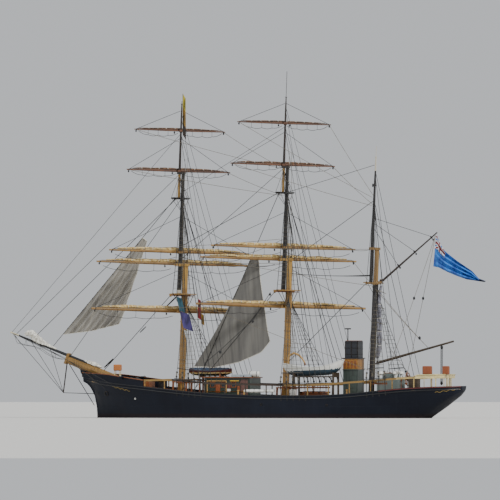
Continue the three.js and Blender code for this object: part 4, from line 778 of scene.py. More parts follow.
class Lines:
    """The hull's lines: its stations, and what is measured from them."""

    TABLE = (
        (-18.45, 3.5, 3.65, 4.02, 0.15, 0.24, 1, 1, 1), (-17.9, 3.15, 3.35, 3.92, 0.18, 0.62, 1, 1, 1),
        (-17.3, 2.2, 2.7, 3.8, 0.22, 1.02, 1, 1, 1), (-16.9, 0.2, 1.2, 3.72, 0.2, 1.3, 1, 1, 1.3),
        (-16.4, -2.2, 0, 3.62, 0.32, 1.62, 1.2, 1, 1.4), (-15.2, -3, 0, 3.45, 0.95, 2.25, 1.3, 1, 1.3),
        (-13.4, -3.2, 0, 3.26, 1.8, 2.88, 1.5, 0.95, 1.2),
        (-11.08, -3.25, 0, 3.04, 2.62, 3.36, 1.8, 0.9, 1.1),
        (-8, -3.3, 0, 2.72, 3.3, 3.66, 2.3, 0.85, 1), (-4.3, -3.33, 0, 2.4, 3.66, 3.79, 2.8, 0.8, 1),
        (0, -3.35, 0, 2.22, 3.75, 3.8, 3.2, 0.75, 1), (3.5, -3.37, 0, 2.18, 3.74, 3.79, 3.1, 0.76, 1),
        (7, -3.32, 0, 2.2, 3.58, 3.74, 2.6, 0.85, 1), (10, -3, 0, 2.36, 3.15, 3.58, 2, 1, 1),
        (12.6, -2.3, 0, 2.62, 2.5, 3.32, 1.6, 1.2, 1), (14.8, -1.3, 0, 2.84, 1.6, 2.98, 1.4, 1.3, 0.9),
        (16.2, -0.75, 0, 2.93, 0.85, 2.68, 1.2, 1.2, 0.8), (17.2, 0.05, 0.5, 2.98, 0.9, 2.42, 1, 1, 0.75),
        (18.6, 1, 1.5, 3.03, 1.3, 1.98, 1, 0.7, 0.75), (19.6, 1.75, 2.1, 3.06, 1.15, 1.55, 1, 0.7, 0.8),
        (20.2, 2.2, 2.5, 3.08, 0.85, 1.08, 1, 0.7, 0.9), (20.5, 2.55, 2.75, 3.08, 0.5, 0.62, 1, 0.8, 1),
    )
    BREADTHS = tuple((row[0], row[5]) for row in TABLE)
    RIMS = tuple((row[0], row[3]) for row in TABLE)
    RAIL_TOPS = (
        (-11, 3.66), (-8, 3.73), (-4.5, 3.4), (3.5, 3.2), (7.2, 3.28), (11.5, 3.56), (15, 3.88), (16.4, 3.94),
        (16.6, 4.14), (20.5, 4.18),
    )
    BULWARK_TOPS = ((-18.5, 4.36), (-17, 4.3), (-15.2, 4.19), (-13.4, 3.95), (-11.08, 3.64))
    DECK_DROP = 0.25
    RIM_WIDTH = 0.12

    @classmethod
    def at(cls, x: float) -> Station:
        """Gives the section at x."""
        return Station(*curve_through(cls.TABLE, x))

    @classmethod
    def breadth(cls, x: float) -> float:
        """Gives the rim's half-breadth."""
        return straight(cls.BREADTHS, x)

    @classmethod
    def rim(cls, x: float) -> float:
        """Gives the rim's height."""
        return straight(cls.RIMS, x)

    @classmethod
    def deck(cls, x: float) -> float:
        """Gives the deck's height."""
        return cls.rim(x) - cls.DECK_DROP

    @classmethod
    def rail(cls, x: float) -> float:
        """Gives the open rail's top."""
        return straight(cls.RAIL_TOPS, x)

    @classmethod
    def side(cls, x: float, z: float) -> float:
        """Gives the shell's half-breadth at a height between the water and the rim."""
        s = cls.at(x)
        share = max(0.0, min(1.0, (z - s.mid) / (s.rim - s.mid)))
        return s.y_mid + (s.y_rim - s.y_mid) * share ** s.flare

    @classmethod
    def channel(cls, x: float, side: int, off: float) -> Vector:
        """Gives a point that far outside and above the open rail, where a shroud or backstay ends."""
        return Vector((x, side * (cls.breadth(x) + off), cls.rail(x) + off))


@dataclass
class Hull:
    """The shell with its keel, stem and stern frame, bulwark, mouldings and covering boards."""

    sections: int = 100
    keel_half_width: float = 0.12
    peak_x: float = -17.3
    taffrail_x: float = 20.36
    bottom_shares: tuple[float, ...] = (1, 0.985, 0.94, 0.86, 0.75, 0.6, 0.42, 0.22, 0)
    side_shares: tuple[float, ...] = (0.2, 0.4, 0.6, 0.8, 0.93, 1)
    backbone: tuple[tuple[float, float], ...] = (
        (-18.8, 4.7), (-18.72, 4.33), (-17.9, 3.23), (-17.25, 2.15), (-17.05, 1), (-17, 0), (-16.9, -1.2),
        (-16.55, -2.3), (-15.8, -3.1), (-14.6, -3.5), (-12, -3.66), (16.2, -3.66), (16.2, -3.42),
        (14.75, -3.42), (14.75, -1.2), (15.6, -1.1), (15.7, -0.6), (14, -0.6), (12, -1.6), (9, -2.6),
        (-13, -2.6), (-15.3, -1.4), (-16.2, 1.5), (-17.35, 3.3), (-17.9, 3.8), (-17.95, 4.7),
    )
    stern_tube: Rows = ((13.4, 0, -2.42), (14.75, 0, -2.42))
    rudder_trunk: Rows = ((15.95, 0, -0.9), (15.95, 0, 0.2))
    # Along the ship from and to, height from and to, and the number of waves of each gilt scroll.
    scrolls: Rows = ((-14.6, -12.6, 3.02, 2.6, 4), (18.2, 20.0, 2.46, 2.76, 3))
    # The rubbing strake, red line and sheer bead: from and to, how far under the rim, radius and finish.
    beads: Rows = (
        (-18, 20.3, 0.3, 0.05, 0), (12.9, 20.42, 0.06, 0.045, 1), (-17.6, 12.9, 0.04, 0.035, 0))
    # Along the ship, height, radius and finish of each hawse pipe and discharge.
    pipes: Rows = (
        (-15.5, 2.35, 0.2, 2), (-12.1, 1.85, 0.07, 3), (1.2, 1.3, 0.09, 2), (7.8, 1.25, 0.09, 2))

    def half_section(self, s: Station) -> list[tuple[float, float]]:
        """Gives a station's half-breadths and heights: up the outside and down into the well's rim."""
        keel, depth, height = self.keel_half_width, s.mid - s.keel, s.rim - s.mid
        half = []
        for q in self.bottom_shares:
            half.append((keel + (s.y_mid - keel) * (1 - q ** s.full) ** s.hollow, s.mid - q * depth))
        for q in self.side_shares:
            half.append((s.y_mid + (s.y_rim - s.y_mid) * q ** s.flare, s.mid + q * height))
        return half + [(s.y_rim - 0.01, s.rim + 0.012), (s.y_rim - Lines.RIM_WIDTH, s.rim + 0.012)]

    def shell(self) -> None:
        """Builds the shell over many sections, with the well for the deck, and the backbone under it."""
        draft = MeshDraft("hull_shell", HULL)
        rings = []
        for x in evenly(Lines.TABLE[0][0], Lines.TABLE[-1][0], self.sections - 1):
            s = Lines.at(x)
            drop = Lines.DECK_DROP + 0.05 if self.peak_x < x < self.taffrail_x else 0.01
            half = self.half_section(s) + [(s.y_rim - Lines.RIM_WIDTH - 0.005, s.rim - drop)]
            rings.append([(x, y, z) for y, z in half] + [(x, -y, z) for y, z in reversed(half)])
        draft.rings(rings)
        for half_width in (self.keel_half_width, self.keel_half_width * 0.6):
            draft.slab(self.backbone, -half_width, half_width, place=about("X", 90))
        draft.tube(self.stern_tube, 0.2, 16)
        draft.tube(self.rudder_trunk, 0.19, 16)
        draft.make(crease=30, replaces=["hull"])

    def bulwark(self) -> None:
        """Builds the bow's bulwark with its cap, the catheads and the knees inside it."""
        draft = MeshDraft("bow_bulwark", HULL, TEAK, WHITE)
        port = []
        for i in range(19):
            x = -11.08 - 0.4 * i
            port.append((x, 0.06 - Lines.breadth(x), Lines.rim(x) - 0.08, straight(Lines.BULWARK_TOPS, x)))
        path = port + [(-18.6, 0.0, 3.95, 4.36)] + [(x, -y, low, high) for x, y, low, high in reversed(port)]
        wall = ((-0.045, 2, 0), (0.045, 2, 0), (0.045, 3, 0), (-0.045, 3, 0))
        cap = ((-0.1, 3, -0.03), (0.1, 3, -0.03), (0.11, 3, 0), (0.1, 3, 0.035), (-0.1, 3, 0.035),
               (-0.11, 3, 0))
        for slot, outline in enumerate((wall, cap)):
            section = lambda i: [(w, path[i][column] + z) for w, column, z in outline]
            draft.rings(swept(path, section)[::-1], slot)
        for _, side in SIDES:
            draft.block((-13.55, 2.6 * side, 3.8), (-13.3, 3.45 * side, 4.02))
            draft.tube([(-13.42, 3.3 * side, 4.03), (-13.42, 3.3 * side, 4.1)], 0.05, 8, 2)
            for x in (-12.2, -14.4, -15.8):
                y = (Lines.breadth(x) - 0.2) * side
                draft.block((x - 0.05, y, Lines.deck(x)), (x + 0.05, y - 0.25 * side, Lines.rim(x) + 0.3))
        draft.make()

    def mouldings(self) -> None:
        """Builds the beads along the shell, its gilt scrolls, the hawse pipes and overboard discharges."""
        draft = MeshDraft("hull_mouldings", BLACK, RED, IRON, WHITE, GILT)
        for _, side in SIDES:
            for x0, x1, z0, z1, waves in self.scrolls:
                scroll = []
                for t in evenly(0, 1, 40):
                    x, z = x0 + (x1 - x0) * t, z0 + (z1 - z0) * t + 0.05 * math.sin(t * waves * math.tau)
                    scroll.append((x, side * (Lines.side(x, z) + 0.012), z))
                draft.tube(scroll, 0.034, 6, 4)
            for x0, x1, drop, radius, slot in self.beads:
                level = [(x, Lines.at(x).rim - drop) for x in evenly(x0, x1, 60)]
                bead = [(x, side * (Lines.side(x, z) + radius * 0.2), z) for x, z in level]
                draft.tube(bead, radius, 8, slot)
            for x, z, size, slot in self.pipes:
                mouth = [(x + size * c, z + size * s) for c, s in sides_of(16, 1)]
                ring = [(a, side * (Lines.side(a, b) + 0.015), b) for a, b in mouth]
                draft.tube(ring + ring[:1], size * 0.28, 8, slot)
        draft.tube([(20.42, y, 3.02) for y in (-0.66, -0.3, 0, 0.3, 0.66)], 0.045, 8, 1)
        draft.make()

    def covering_boards(self) -> None:
        """Builds the deck's margin planks along the shell."""
        draft = MeshDraft("covering_boards", TEAK)
        for _, side in SIDES:
            rings = []
            for x in evenly(-17.2, 20.3, 60):
                outer, top = Lines.breadth(x) - Lines.RIM_WIDTH - 0.004, Lines.deck(x) + 0.004
                inner = outer - 0.22
                plank = ((inner, top - 0.03), (outer, top - 0.03), (outer, top + 0.03), (inner, top + 0.012))
                rings.append([(x, side * y, z) for y, z in plank][::side])
            draft.rings(rings)
        draft.make()

    def build(self) -> None:
        """Builds every part of the hull."""
        self.shell()
        self.bulwark()
        self.mouldings()
        self.covering_boards()


@dataclass
class OpenRail:
    """The open rail round the deck: a rounded cap over the CAD's rail, thicker round the stern."""

    inset: float = 0.06
    start_x: float = -11.0
    corner_x: float = 18.8
    end_x: float = 18.95
    thick_from: float = 16.5
    section: Rows = (
        (-0.09, -0.01), (0.09, -0.01), (0.1, 0.02), (0.07, 0.045), (-0.07, 0.045), (-0.1, 0.02))

    def build(self) -> None:
        """Lays the cap along both sides and round to the middle of the stern."""
        corner = Lines.breadth(self.corner_x) - 0.35
        for name, side in SIDES:
            xs = evenly(self.start_x, self.corner_x, 80)
            path = [(x, side * (Lines.breadth(x) - self.inset)) for x in xs]
            path += [(self.end_x, side * y) for y in (corner, corner / 2, 0.09)]
            fat = [1.5 if x > self.thick_from else 1.0 for x, _ in path]
            section = lambda i: [(w * fat[i], Lines.rail(path[i][0]) + z * fat[i]) for w, z in self.section]
            draft = MeshDraft(f"{name}_cap_rail", RAIL)
            draft.rings(swept(path, section)[::-side])
            draft.make()


def dress(finish: Finish, *nodes: str, bevel: float = 0.012) -> None:
    """Gives CAD nodes their finish, and eases their edges by a bevel of that real width, or none."""
    for node in nodes:
        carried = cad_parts[node]
        for holder in carried.material_slots:
            holder.material = finish.material()
        if bevel:
            eased = carried.modifiers.new("eased_edges", "BEVEL")
            eased.width = bevel * MODEL_SCALE
            eased.segments = 2
            eased.limit_method = "ANGLE"
            eased.angle_limit = math.radians(50)


@dataclass(frozen=True)
class Yard:
    """A yard in its mast's frame: where it turns, how far its spar stands off, and its size."""

    name: str
    mast: Matrix
    pivot_x: float
    z: float
    reach: float
    length: float
    radius: float
    braced: float = -50.0

    @property
    def place(self) -> Matrix:
        """The yard's own frame, turning with its brace."""
        return self.mast @ about("Z", self.braced, (self.pivot_x, 0, self.z))

    def at(self, share: float, ahead: float = 0.0, above: float = 0.0) -> Vector:
        """Gives a point beside the spar: share runs from -1 at the port arm to 1."""
        return self.place @ Vector((-self.reach - ahead, share * self.length / 2, above))

    def thickness(self, share: float) -> float:
        """Gives the spar's radius at a share of its half-length."""
        return self.radius * straight(((0.12, 1.0), (0.5, 0.85), (1.0, 0.5)), abs(share))


@dataclass(frozen=True)
class Raked:
    """A mast: foot_x is where it passes the deck, and it leans aft by its rake, in degrees."""

    name: str
    foot_x: float
    rake: float
    # How high above the water the masts pass the deck.
    deck_z = 2.5

    @property
    def place(self) -> Matrix:
        """The mast's frame."""
        return about("Y", self.rake, (self.foot_x - self.deck_z * math.tan(math.radians(self.rake)), 0, 0))

    def at(self, x: float, y: float, z: float) -> Vector:
        """Gives a point of the mast's frame in the ship's."""
        return self.place @ Vector((x, y, z))


@dataclass(frozen=True)
class Mast(Raked):
    """A square-rigged mast's heights in its own frame, and its yards: name, height, length and radius."""

    top: float
    cap: float
    crosstrees: float
    truck: float
    yard_rows: tuple[tuple[str, float, float, float], ...]
    lower_r: float = 0.32
    top_r: float = 0.2
    pole_r: float = 0.125
    topmast_x: float = -0.56
    pole_x: float = -0.93
    course_hold: tuple[float, float] = (-0.6, 0.45)
    lower_topsail_hold: tuple[float, float] = (-1.04, 0.36)

    def yards(self) -> list[Yard]:
        """Gives the mast's yards from the lowest up; from the third on they hang close to their mast."""
        held = [self.course_hold, self.lower_topsail_hold]
        for _, z, _, radius in self.yard_rows[2:]:
            x, thick = (self.pole_x, self.pole_r) if z > self.crosstrees else (self.topmast_x, self.top_r)
            held.append((x, thick + radius + 0.082))
        return [Yard(f"{self.name}_{name}", self.place, pivot, z, reach, length, radius)
                for (name, z, length, radius), (pivot, reach) in zip(self.yard_rows, held)]

    def topgallant_z(self) -> float:
        """Gives the topgallant yard's height."""
        return self.yard_rows[3][1]

    def royal_z(self) -> float:
        """Gives the royal yard's height."""
        return self.yard_rows[4][1]


@dataclass(frozen=True)
class Mizzen(Raked):
    """The fore-and-aft rigged mizzen with its gaff and boom: pins are x and z, rises are in degrees."""

    cap: float = 16.4
    topmast_x: float = -0.5
    gaff_pin: tuple[float, float] = (0.5, 13.25)
    gaff_length: float = 7.35
    gaff_rise: float = 41.2
    boom_pin: tuple[float, float] = (0.52, 5.4)
    boom_rise: float = 17.0

    def beside(self, pin: tuple[float, float], rise: float, along: float, above: float) -> Vector:
        """Gives a point at a distance out on a spar from its pin, and above it."""
        c, s = math.cos(math.radians(rise)), math.sin(math.radians(rise))
        return self.at(pin[0] + along * c - above * s, 0, pin[1] + along * s + above * c)

    def on_gaff(self, along: float, above: float = 0.0) -> Vector:
        """Gives a point up the gaff."""
        return self.beside(self.gaff_pin, self.gaff_rise, along, above)

    def on_boom(self, along: float, above: float = 0.0) -> Vector:
        """Gives a point out on the boom."""
        return self.beside(self.boom_pin, self.boom_rise, along, above)


@dataclass(frozen=True)
class Sprit:
    """The bowsprit and jibboom: u runs out along them from the bowsprit's heel."""

    heel: tuple[float, float, float] = (-15.0, 0.0, 3.68)
    steeve: float = 20.8
    boom_lift: float = 0.39

    def at(self, u: float, lift: float = 0.0, y: float = 0.0) -> Vector:
        """Gives a point u out and lift above the bowsprit's middle line."""
        return about("Y", self.steeve - 90, self.heel) @ Vector((lift, y, u))

    def on_boom(self, u: float, above: float = 0.0, y: float = 0.0) -> Vector:
        """Gives a point by the jibboom."""
        return self.at(u, self.boom_lift + above, y)


FORE = Mast("fore", -8.38, 2.0, 11.9, 14.9, 21.2, 30.3, (
    ("course_yard", 10.3, 17.4, 0.2), ("lower_topsail_yard", 14.85, 15.9, 0.155),
    ("upper_topsail_yard", 16.0, 14.3, 0.15), ("topgallant_yard", 23.801, 10.6, 0.115),
    ("royal_yard", 27.7, 9.3, 0.095)))
MAIN = Mast("main", 2.3, 2.0, 12.25, 15.4, 21.7, 30.9, (
    ("course_yard", 10.75, 17.4, 0.2), ("lower_topsail_yard", 15.25, 16.0, 0.155),
    ("upper_topsail_yard", 16.4, 14.8, 0.15), ("topgallant_yard", 24.351, 10.7, 0.115),
    ("royal_yard", 28.35, 9.6, 0.095)))
MIZZEN = Mizzen("mizzen", 11.05, 2.5)
SPRIT = Sprit()


@dataclass
class Spars:
    """The masts, yards and booms: the CAD's own shapes in their paint, and the fittings on them."""

    hoop_heights: Row = (4.2, 5.6, 7.0, 8.4, 9.3)
    fife_height: float = 0.95
    fife_reach: float = 0.75
    # How high above its yard each lift is made fast; the lower topsail yard has none.
    lifts: Row = (3.9, 0, 3.4, 3.1, 1.9)
    pin: Rows = ((0.012, -0.22), (0.02, 0.05), (0.035, 0.09), (0.025, 0.24), (0.01, 0.26))

    def paint(self) -> None:
        """Paints the spars."""
        dress(LOWER_MAST, "fore_lower_mast", "main_lower_mast")
        for node, finish in {
            "fore_topmast": FORE_TOPMAST, "main_topmast": MAIN_TOPMAST, "fore_topgallant_mast": FORE_POLE,
            "main_topgallant_mast": MAIN_POLE, "mizzen_lower_mast": MIZZEN_LOWER,
            "mizzen_topmast": MIZZEN_TOP, "jibboom": JIBBOOM, "bowsprit": BOWSPRIT, "gaff": DARK_SPAR,
            "boom": DARK_BOOM,
        }.items():
            dress(finish, node)
        for mast in (FORE, MAIN):
            for i, yard in enumerate(mast.yards()):
                dress(YARD if i < 3 else THIN_YARD, yard.name)

    def fittings(self, mast: Mast) -> None:
        """Adds hoops, the top's battens, the crosstrees' bars and the fife rail round the foot."""
        draft = MeshDraft(f"{mast.name}_mast_fittings", IRON, TEAK, BUFF)
        place = mast.place
        for z in self.hoop_heights:
            draft.hoop(place @ Matrix.Translation((0, 0, z)), 0.3, mast.lower_r + 0.035, 0.05, 20, 2)
        for z in (mast.top + 1.4, mast.cap + 0.8, mast.cap + 2.4, mast.cap + 4.0):
            at = place @ Matrix.Translation((mast.topmast_x, 0, z))
            draft.hoop(at, 0.15, mast.top_r + 0.03, 0.04, 16, 0)
        for y in evenly(-1, 1, 5):
            draft.block((-1.0, y - 0.05, mast.top - 0.14), (0.68, y + 0.05, mast.top - 0.06), 1, place)
        for x in (-1.25, -0.75, -0.3):
            low, high = mast.crosstrees - 0.11, mast.crosstrees - 0.01
            draft.block((x - 0.05, -1.2, low), (x + 0.05, 1.2, high), 0, place)
        fife = place @ Matrix.Translation((0, 0, Lines.deck(mast.foot_x) + self.fife_height))
        for _, side in SIDES:
            y = side * self.fife_reach
            draft.block((-0.7, y - 0.09, -0.06), (0.85, y + 0.09, 0.06), 1, fife)
            for x in (-0.6, 0.75):
                draft.block((x - 0.08, y - 0.08, -0.98), (x + 0.08, y + 0.08, -0.05), 1, fife)
            for x in evenly(-0.5, 0.7, 6):
                draft.turned(fife @ Matrix.Translation((x, y, 0)), self.pin, 6, 1)
        draft.block((0.78, -0.85, -0.06), (0.95, 0.85, 0.06), 1, fife)
        draft.make()

    def footrope(self, draft: MeshDraft, yard: Yard, side: int, drop: float) -> None:
        """Hangs a footrope in four bays between its stirrups, drawn up at both ends."""
        path = []
        for i, share in enumerate(evenly(0.05, 0.92, 20)):
            bay = i / 5
            hung = drop - 0.25 * max(0.0, 1 - bay) - 0.35 * max(0.0, bay - 3)
            path.append(yard.at(side * share, -0.12, -hung - 0.1 * math.sin(math.pi * (bay % 1))))
        draft.tube(path, 0.018, 5)
        for share in evenly(0.05, 0.92, 4)[1:-1]:
            top = yard.at(side * share, -yard.thickness(share), 0)
            draft.tube([top, yard.at(side * share, -0.12, -drop)], 0.012, 4)

    def yard_gear(self, yard: Yard, drop: float, lift: float) -> None:
        """Adds a yard's jackstay, footropes with stirrups, bands, blocks and lifts, turning with it."""
        draft = MeshDraft(f"{yard.name}_gear", WIRE, IRON, BLACK)
        shares = evenly(-0.94, 0.94, 12)
        draft.tube([yard.at(s, -0.03, yard.thickness(s) + 0.035) for s in shares], 0.018, 5, 1)
        for s in shares:
            high = yard.at(s, -0.03, yard.thickness(s) + 0.045)
            draft.tube([yard.at(s, -0.03, yard.thickness(s) * 0.7), high], 0.015, 5, 1)
        for _, side in SIDES:
            self.footrope(draft, yard, side, drop)
            for share, end in ((0.965, 1), (0.12, 0)):
                draft.pulley(yard.at(side * share, 0.0, -yard.thickness(end) - 0.12), 0.09, 2)
            arm = yard.place @ about("X", 90, (-yard.reach, side * 0.955 * yard.length / 2, 0))
            draft.hoop(arm, 0.02, yard.thickness(0.955) + 0.025, 0.05, 10, 1)
            if lift:
                made_fast = yard.place @ Vector((-0.05, side * 0.09, lift))
                draft.tube([yard.at(side * 0.95, 0, yard.thickness(0.95)), made_fast], 0.017, 5)
        draft.make(yard.name)

    def build(self) -> None:
        """Paints and fits all the spars."""
        self.paint()
        for mast in (FORE, MAIN):
            self.fittings(mast)
            for i, yard in enumerate(mast.yards()):
                self.yard_gear(yard, 0.75 if i < 3 else 0.5, self.lifts[i])


@dataclass
class Rig:
    """The standing rigging: ratlines, deadeyes, topmast and topgallant shrouds, backstays and headstays."""

    # Each mast's hounds, how far abaft it the first lower shroud stands, their spacing and their number.
    gangs: tuple[tuple[Raked, float, float, float, int], ...] = (
        (FORE, 11.65, 0.9, 0.62, 5), (MAIN, 12.0, 0.9, 0.62, 5), (MIZZEN, 12.75, 0.75, 0.6, 4))
    deadeyes: tuple[float, float] = (0.14, 0.62)
    striker_tip: tuple[float, float] = (4.75, -3.15)

    @staticmethod
    def ratlines(draft: MeshDraft, feet: Sequence[Vector], tops: Sequence[Vector], low: float, high: float,
                 step: float, radius: float, slot: int) -> None:
        """Ties level ropes across a gang of shrouds, from one height up to another."""
        z = low
        while z < high:
            draft.tube([at_height(a, b, z) for a, b in zip(feet, tops)], radius, 4, slot)
            z += step

    def lower(self, mast: Raked, hounds: float, first: float, pitch: float, count: int) -> None:
        """Adds the ratlines over a mast's CAD shrouds, and their deadeyes with lanyards."""
        for name, side in SIDES:
            dress(WIRE, f"{mast.name}_{name}_shrouds", bevel=0)
            draft = MeshDraft(f"{mast.name}_{name}_ratlines", HEMP, BLACK)
            feet = [Lines.channel(mast.foot_x + first + i * pitch, side, 0.16) for i in range(count)]
            tops = [mast.at(0.04, side * 0.1, hounds - i * 0.13) for i in range(count)]
            self.ratlines(draft, feet, tops, feet[0].z + 1.0, tops[-1].z - 0.45, 0.4, 0.017, 0)
            outward = Vector((0, side, 0.1)).to_track_quat("Z", "Y").to_matrix().to_4x4()
            for a, b in zip(feet, tops):
                along = (b - a).normalized()
                ends = [a + along * up for up in self.deadeyes]
                for end in ends:
                    draft.hoop(Matrix.Translation(end) @ outward, 0.04, 0.1, 0.06, 10, 1, chamfer=0.025)
                for off in (-0.05, 0.0, 0.05):
                    draft.tube([end + Vector((off, side * 0.05, 0)) for end in ends], 0.014, 4)
            draft.tube([a.lerp(b, 1.05 / (b - a).length) for a, b in zip(feet, tops)], 0.035, 6, 1)
            draft.make()

    def upper(self, mast: Mast) -> None:
        """Adds the topmast and topgallant shrouds, futtocks and backstays of a square-rigged mast."""
        draft = MeshDraft(f"{mast.name}_upper_shrouds", WIRE, HEMP)
        # Height and x of each backstay's head, how far its foot is abaft the first, and its radius.
        backstays = (
            (mast.crosstrees - 0.15, mast.topmast_x, 0.0, 0.024),
            (mast.crosstrees - 0.25, mast.topmast_x, 0.55, 0.024),
            (mast.topgallant_z() - 0.5, mast.pole_x, 1.1, 0.019),
            (mast.royal_z() - 0.45, mast.pole_x, 1.6, 0.016),
            (mast.truck - 1.1, mast.pole_x, 2.1, 0.014))
        for _, side in SIDES:
            rims = [mast.at(-0.75 + 0.42 * i, side * 1.28, mast.top + 0.12) for i in range(4)]
            heights = [mast.crosstrees - 0.1 - 0.07 * i for i in range(4)]
            hounds = [mast.at(mast.topmast_x, side * 0.16, z) for z in heights]
            self.ratlines(draft, rims, hounds, mast.top + 0.6, mast.crosstrees - 0.8, 0.42, 0.014, 1)
            for i, (rim, hound) in enumerate(zip(rims, hounds)):
                draft.tube([rim, hound], 0.022, 5)
                draft.tube([rim, mast.at(-0.1 + 0.08 * i, side * 0.3, mast.top - 1.5)], 0.022, 5)
            for i in range(3):
                spread = mast.at(-1.25 + 0.48 * i, side * 1.2, mast.crosstrees)
                head = mast.at(mast.pole_x, side * 0.1, mast.topgallant_z() - 0.55 - 0.08 * i)
                draft.tube([spread, head], 0.016, 5)
                draft.tube([spread, mast.at(mast.topmast_x, side * 0.18, mast.crosstrees - 1.3)], 0.016, 5)
            for z, x, aft, radius in backstays:
                foot = Lines.channel(mast.foot_x + 4.0 + aft, side, 0.12)
                draft.tube([mast.at(x, side * 0.13, z), foot], radius, 5)
        draft.make()

    def mizzen_upper(self) -> None:
        """Adds the mizzen topmast's shrouds, backstays and stays, and the spring stay."""
        draft = MeshDraft("mizzen_upper_rigging", WIRE)
        top, x = MIZZEN.at, MIZZEN.topmast_x
        for _, side in SIDES:
            for i in range(3):
                rim = top(-0.6 + 0.45 * i, side * 0.95, MIZZEN.cap - 3.3)
                draft.tube([rim, top(x, side * 0.12, 20.9 - 0.1 * i)], 0.018, 5)
                draft.tube([rim, top(0.05 * i, side * 0.25, MIZZEN.cap - 4.6)], 0.018, 5)
            for z, aft, radius in ((20.8, 3.3, 0.02), (23.6, 3.9, 0.017)):
                foot = Lines.channel(MIZZEN.foot_x + aft, side, 0.05)
                draft.tube([top(x, side * 0.11, z), foot], radius, 5)
        draft.tube([top(x - 0.15, 0, 20.8), MAIN.at(0.25, 0, MAIN.cap - 0.15)], 0.022, 5)
        draft.tube([top(x - 0.12, 0, 24.3), MAIN.at(-0.35, 0, MAIN.crosstrees + 0.05)], 0.018, 5)
        spring = sagging(top(-0.35, 0, 13.7), MAIN.at(0.3, 0, 13.9), 0.12)
        draft.tube(spring, [0.07, 0.075, 0.05, 0.035, 0.03, 0.03, 0.03, 0.03, 0.045], 7)
        draft.make()

    def headstays(self) -> None:
        """Adds the stays before the fore mast, the main's upper stays, and what holds the jibboom down."""
        dress(WIRE, "forestay", "jib_stay", "main_stay", "main_topmast_stay", "mizzen_stay", bevel=0)
        draft = MeshDraft("headstays", WIRE)
        fore, main, at, on_boom = FORE, MAIN, SPRIT.at, SPRIT.on_boom
        tip = at(*self.striker_tip)
        for a, b, radius, sides in (
            (fore.at(-0.8, 0.12, fore.crosstrees - 0.2), at(5.4, 0.3, 0.12), 0.026, 6),
            (fore.at(-1.0, 0, fore.crosstrees + 0.1), on_boom(9.6, 0.1), 0.022, 6),
            (fore.at(fore.pole_x - 0.1, 0, fore.topgallant_z() - 0.4), on_boom(11.3, 0.08), 0.018, 6),
            (fore.at(fore.pole_x - 0.1, 0, fore.royal_z() - 0.4), on_boom(11.8, 0.07), 0.015, 6),
            (main.at(main.pole_x - 0.1, 0, main.topgallant_z() - 0.4),
             fore.at(fore.topmast_x + 0.1, 0, fore.cap + 0.4), 0.019, 6),
            (main.at(main.pole_x - 0.1, 0, main.royal_z() - 0.4),
             fore.at(fore.pole_x + 0.1, 0, fore.crosstrees + 0.4), 0.015, 6),
            (main.at(-1.3, 0, main.crosstrees), fore.at(fore.topmast_x + 0.15, 0, 16.6), 0.022, 6),
            (at(5.3, -0.25), (-17.35, 0.0, 1.2), 0.04, 6),
            *((tip, on_boom(u, -0.1), 0.02, 5) for u in (7.5, 9.6, 11.6)),
        ):
            draft.tube([a, b], radius, sides)
        for _, side in SIDES:
            for start, x, z, radius in ((tip, -16.6, 2.3, 0.022), (at(5.3, 0, side * 0.3), -15.6, 2.9, 0.024),
                                        (on_boom(9.5, 0, side * 0.12), -14.6, 3.2, 0.02)):
                draft.tube([start, (x, side * (Lines.side(x, z) + 0.03), z)], radius, 5)
            draft.tube([on_boom(11.7, 0, side * 0.08), at(5.5, 0.0, side * 0.34)], 0.016, 5)
            hung = [(u, 0.55 + 0.15 * math.sin((u - 6) * 1.7)) for u in evenly(6, 10.8, 6)]
            netting = [on_boom(u, -drop, side * 0.35) for u, drop in hung]
            draft.tube([at(5.6, 0, side * 0.3), *netting, on_boom(11.5, -0.08, side * 0.08)], 0.015, 5)
            for low in netting[1::2]:
                draft.tube([low, low + Vector((0, -side * 0.28, 0.5))], 0.012, 4)
        a, b = fore.at(-0.75, -0.02, 11.75), at(1.75, 0.45)
        for low, high, radius in ((0.0, 0.14, 0.075), (0.86, 0.98, 0.08), (0.42, 0.5, 0.055)):
            serving = [a.lerp(b, t) for t in evenly(low, high, 2)]
            draft.tube(serving, [radius * 0.7, radius, radius * 0.7], 8)
        draft.make()

    def build(self) -> None:
        """Builds the standing rigging."""
        for gang in self.gangs:
            self.lower(*gang)
        for mast in (FORE, MAIN):
            self.upper(mast)
        self.mizzen_upper()
        self.headstays()


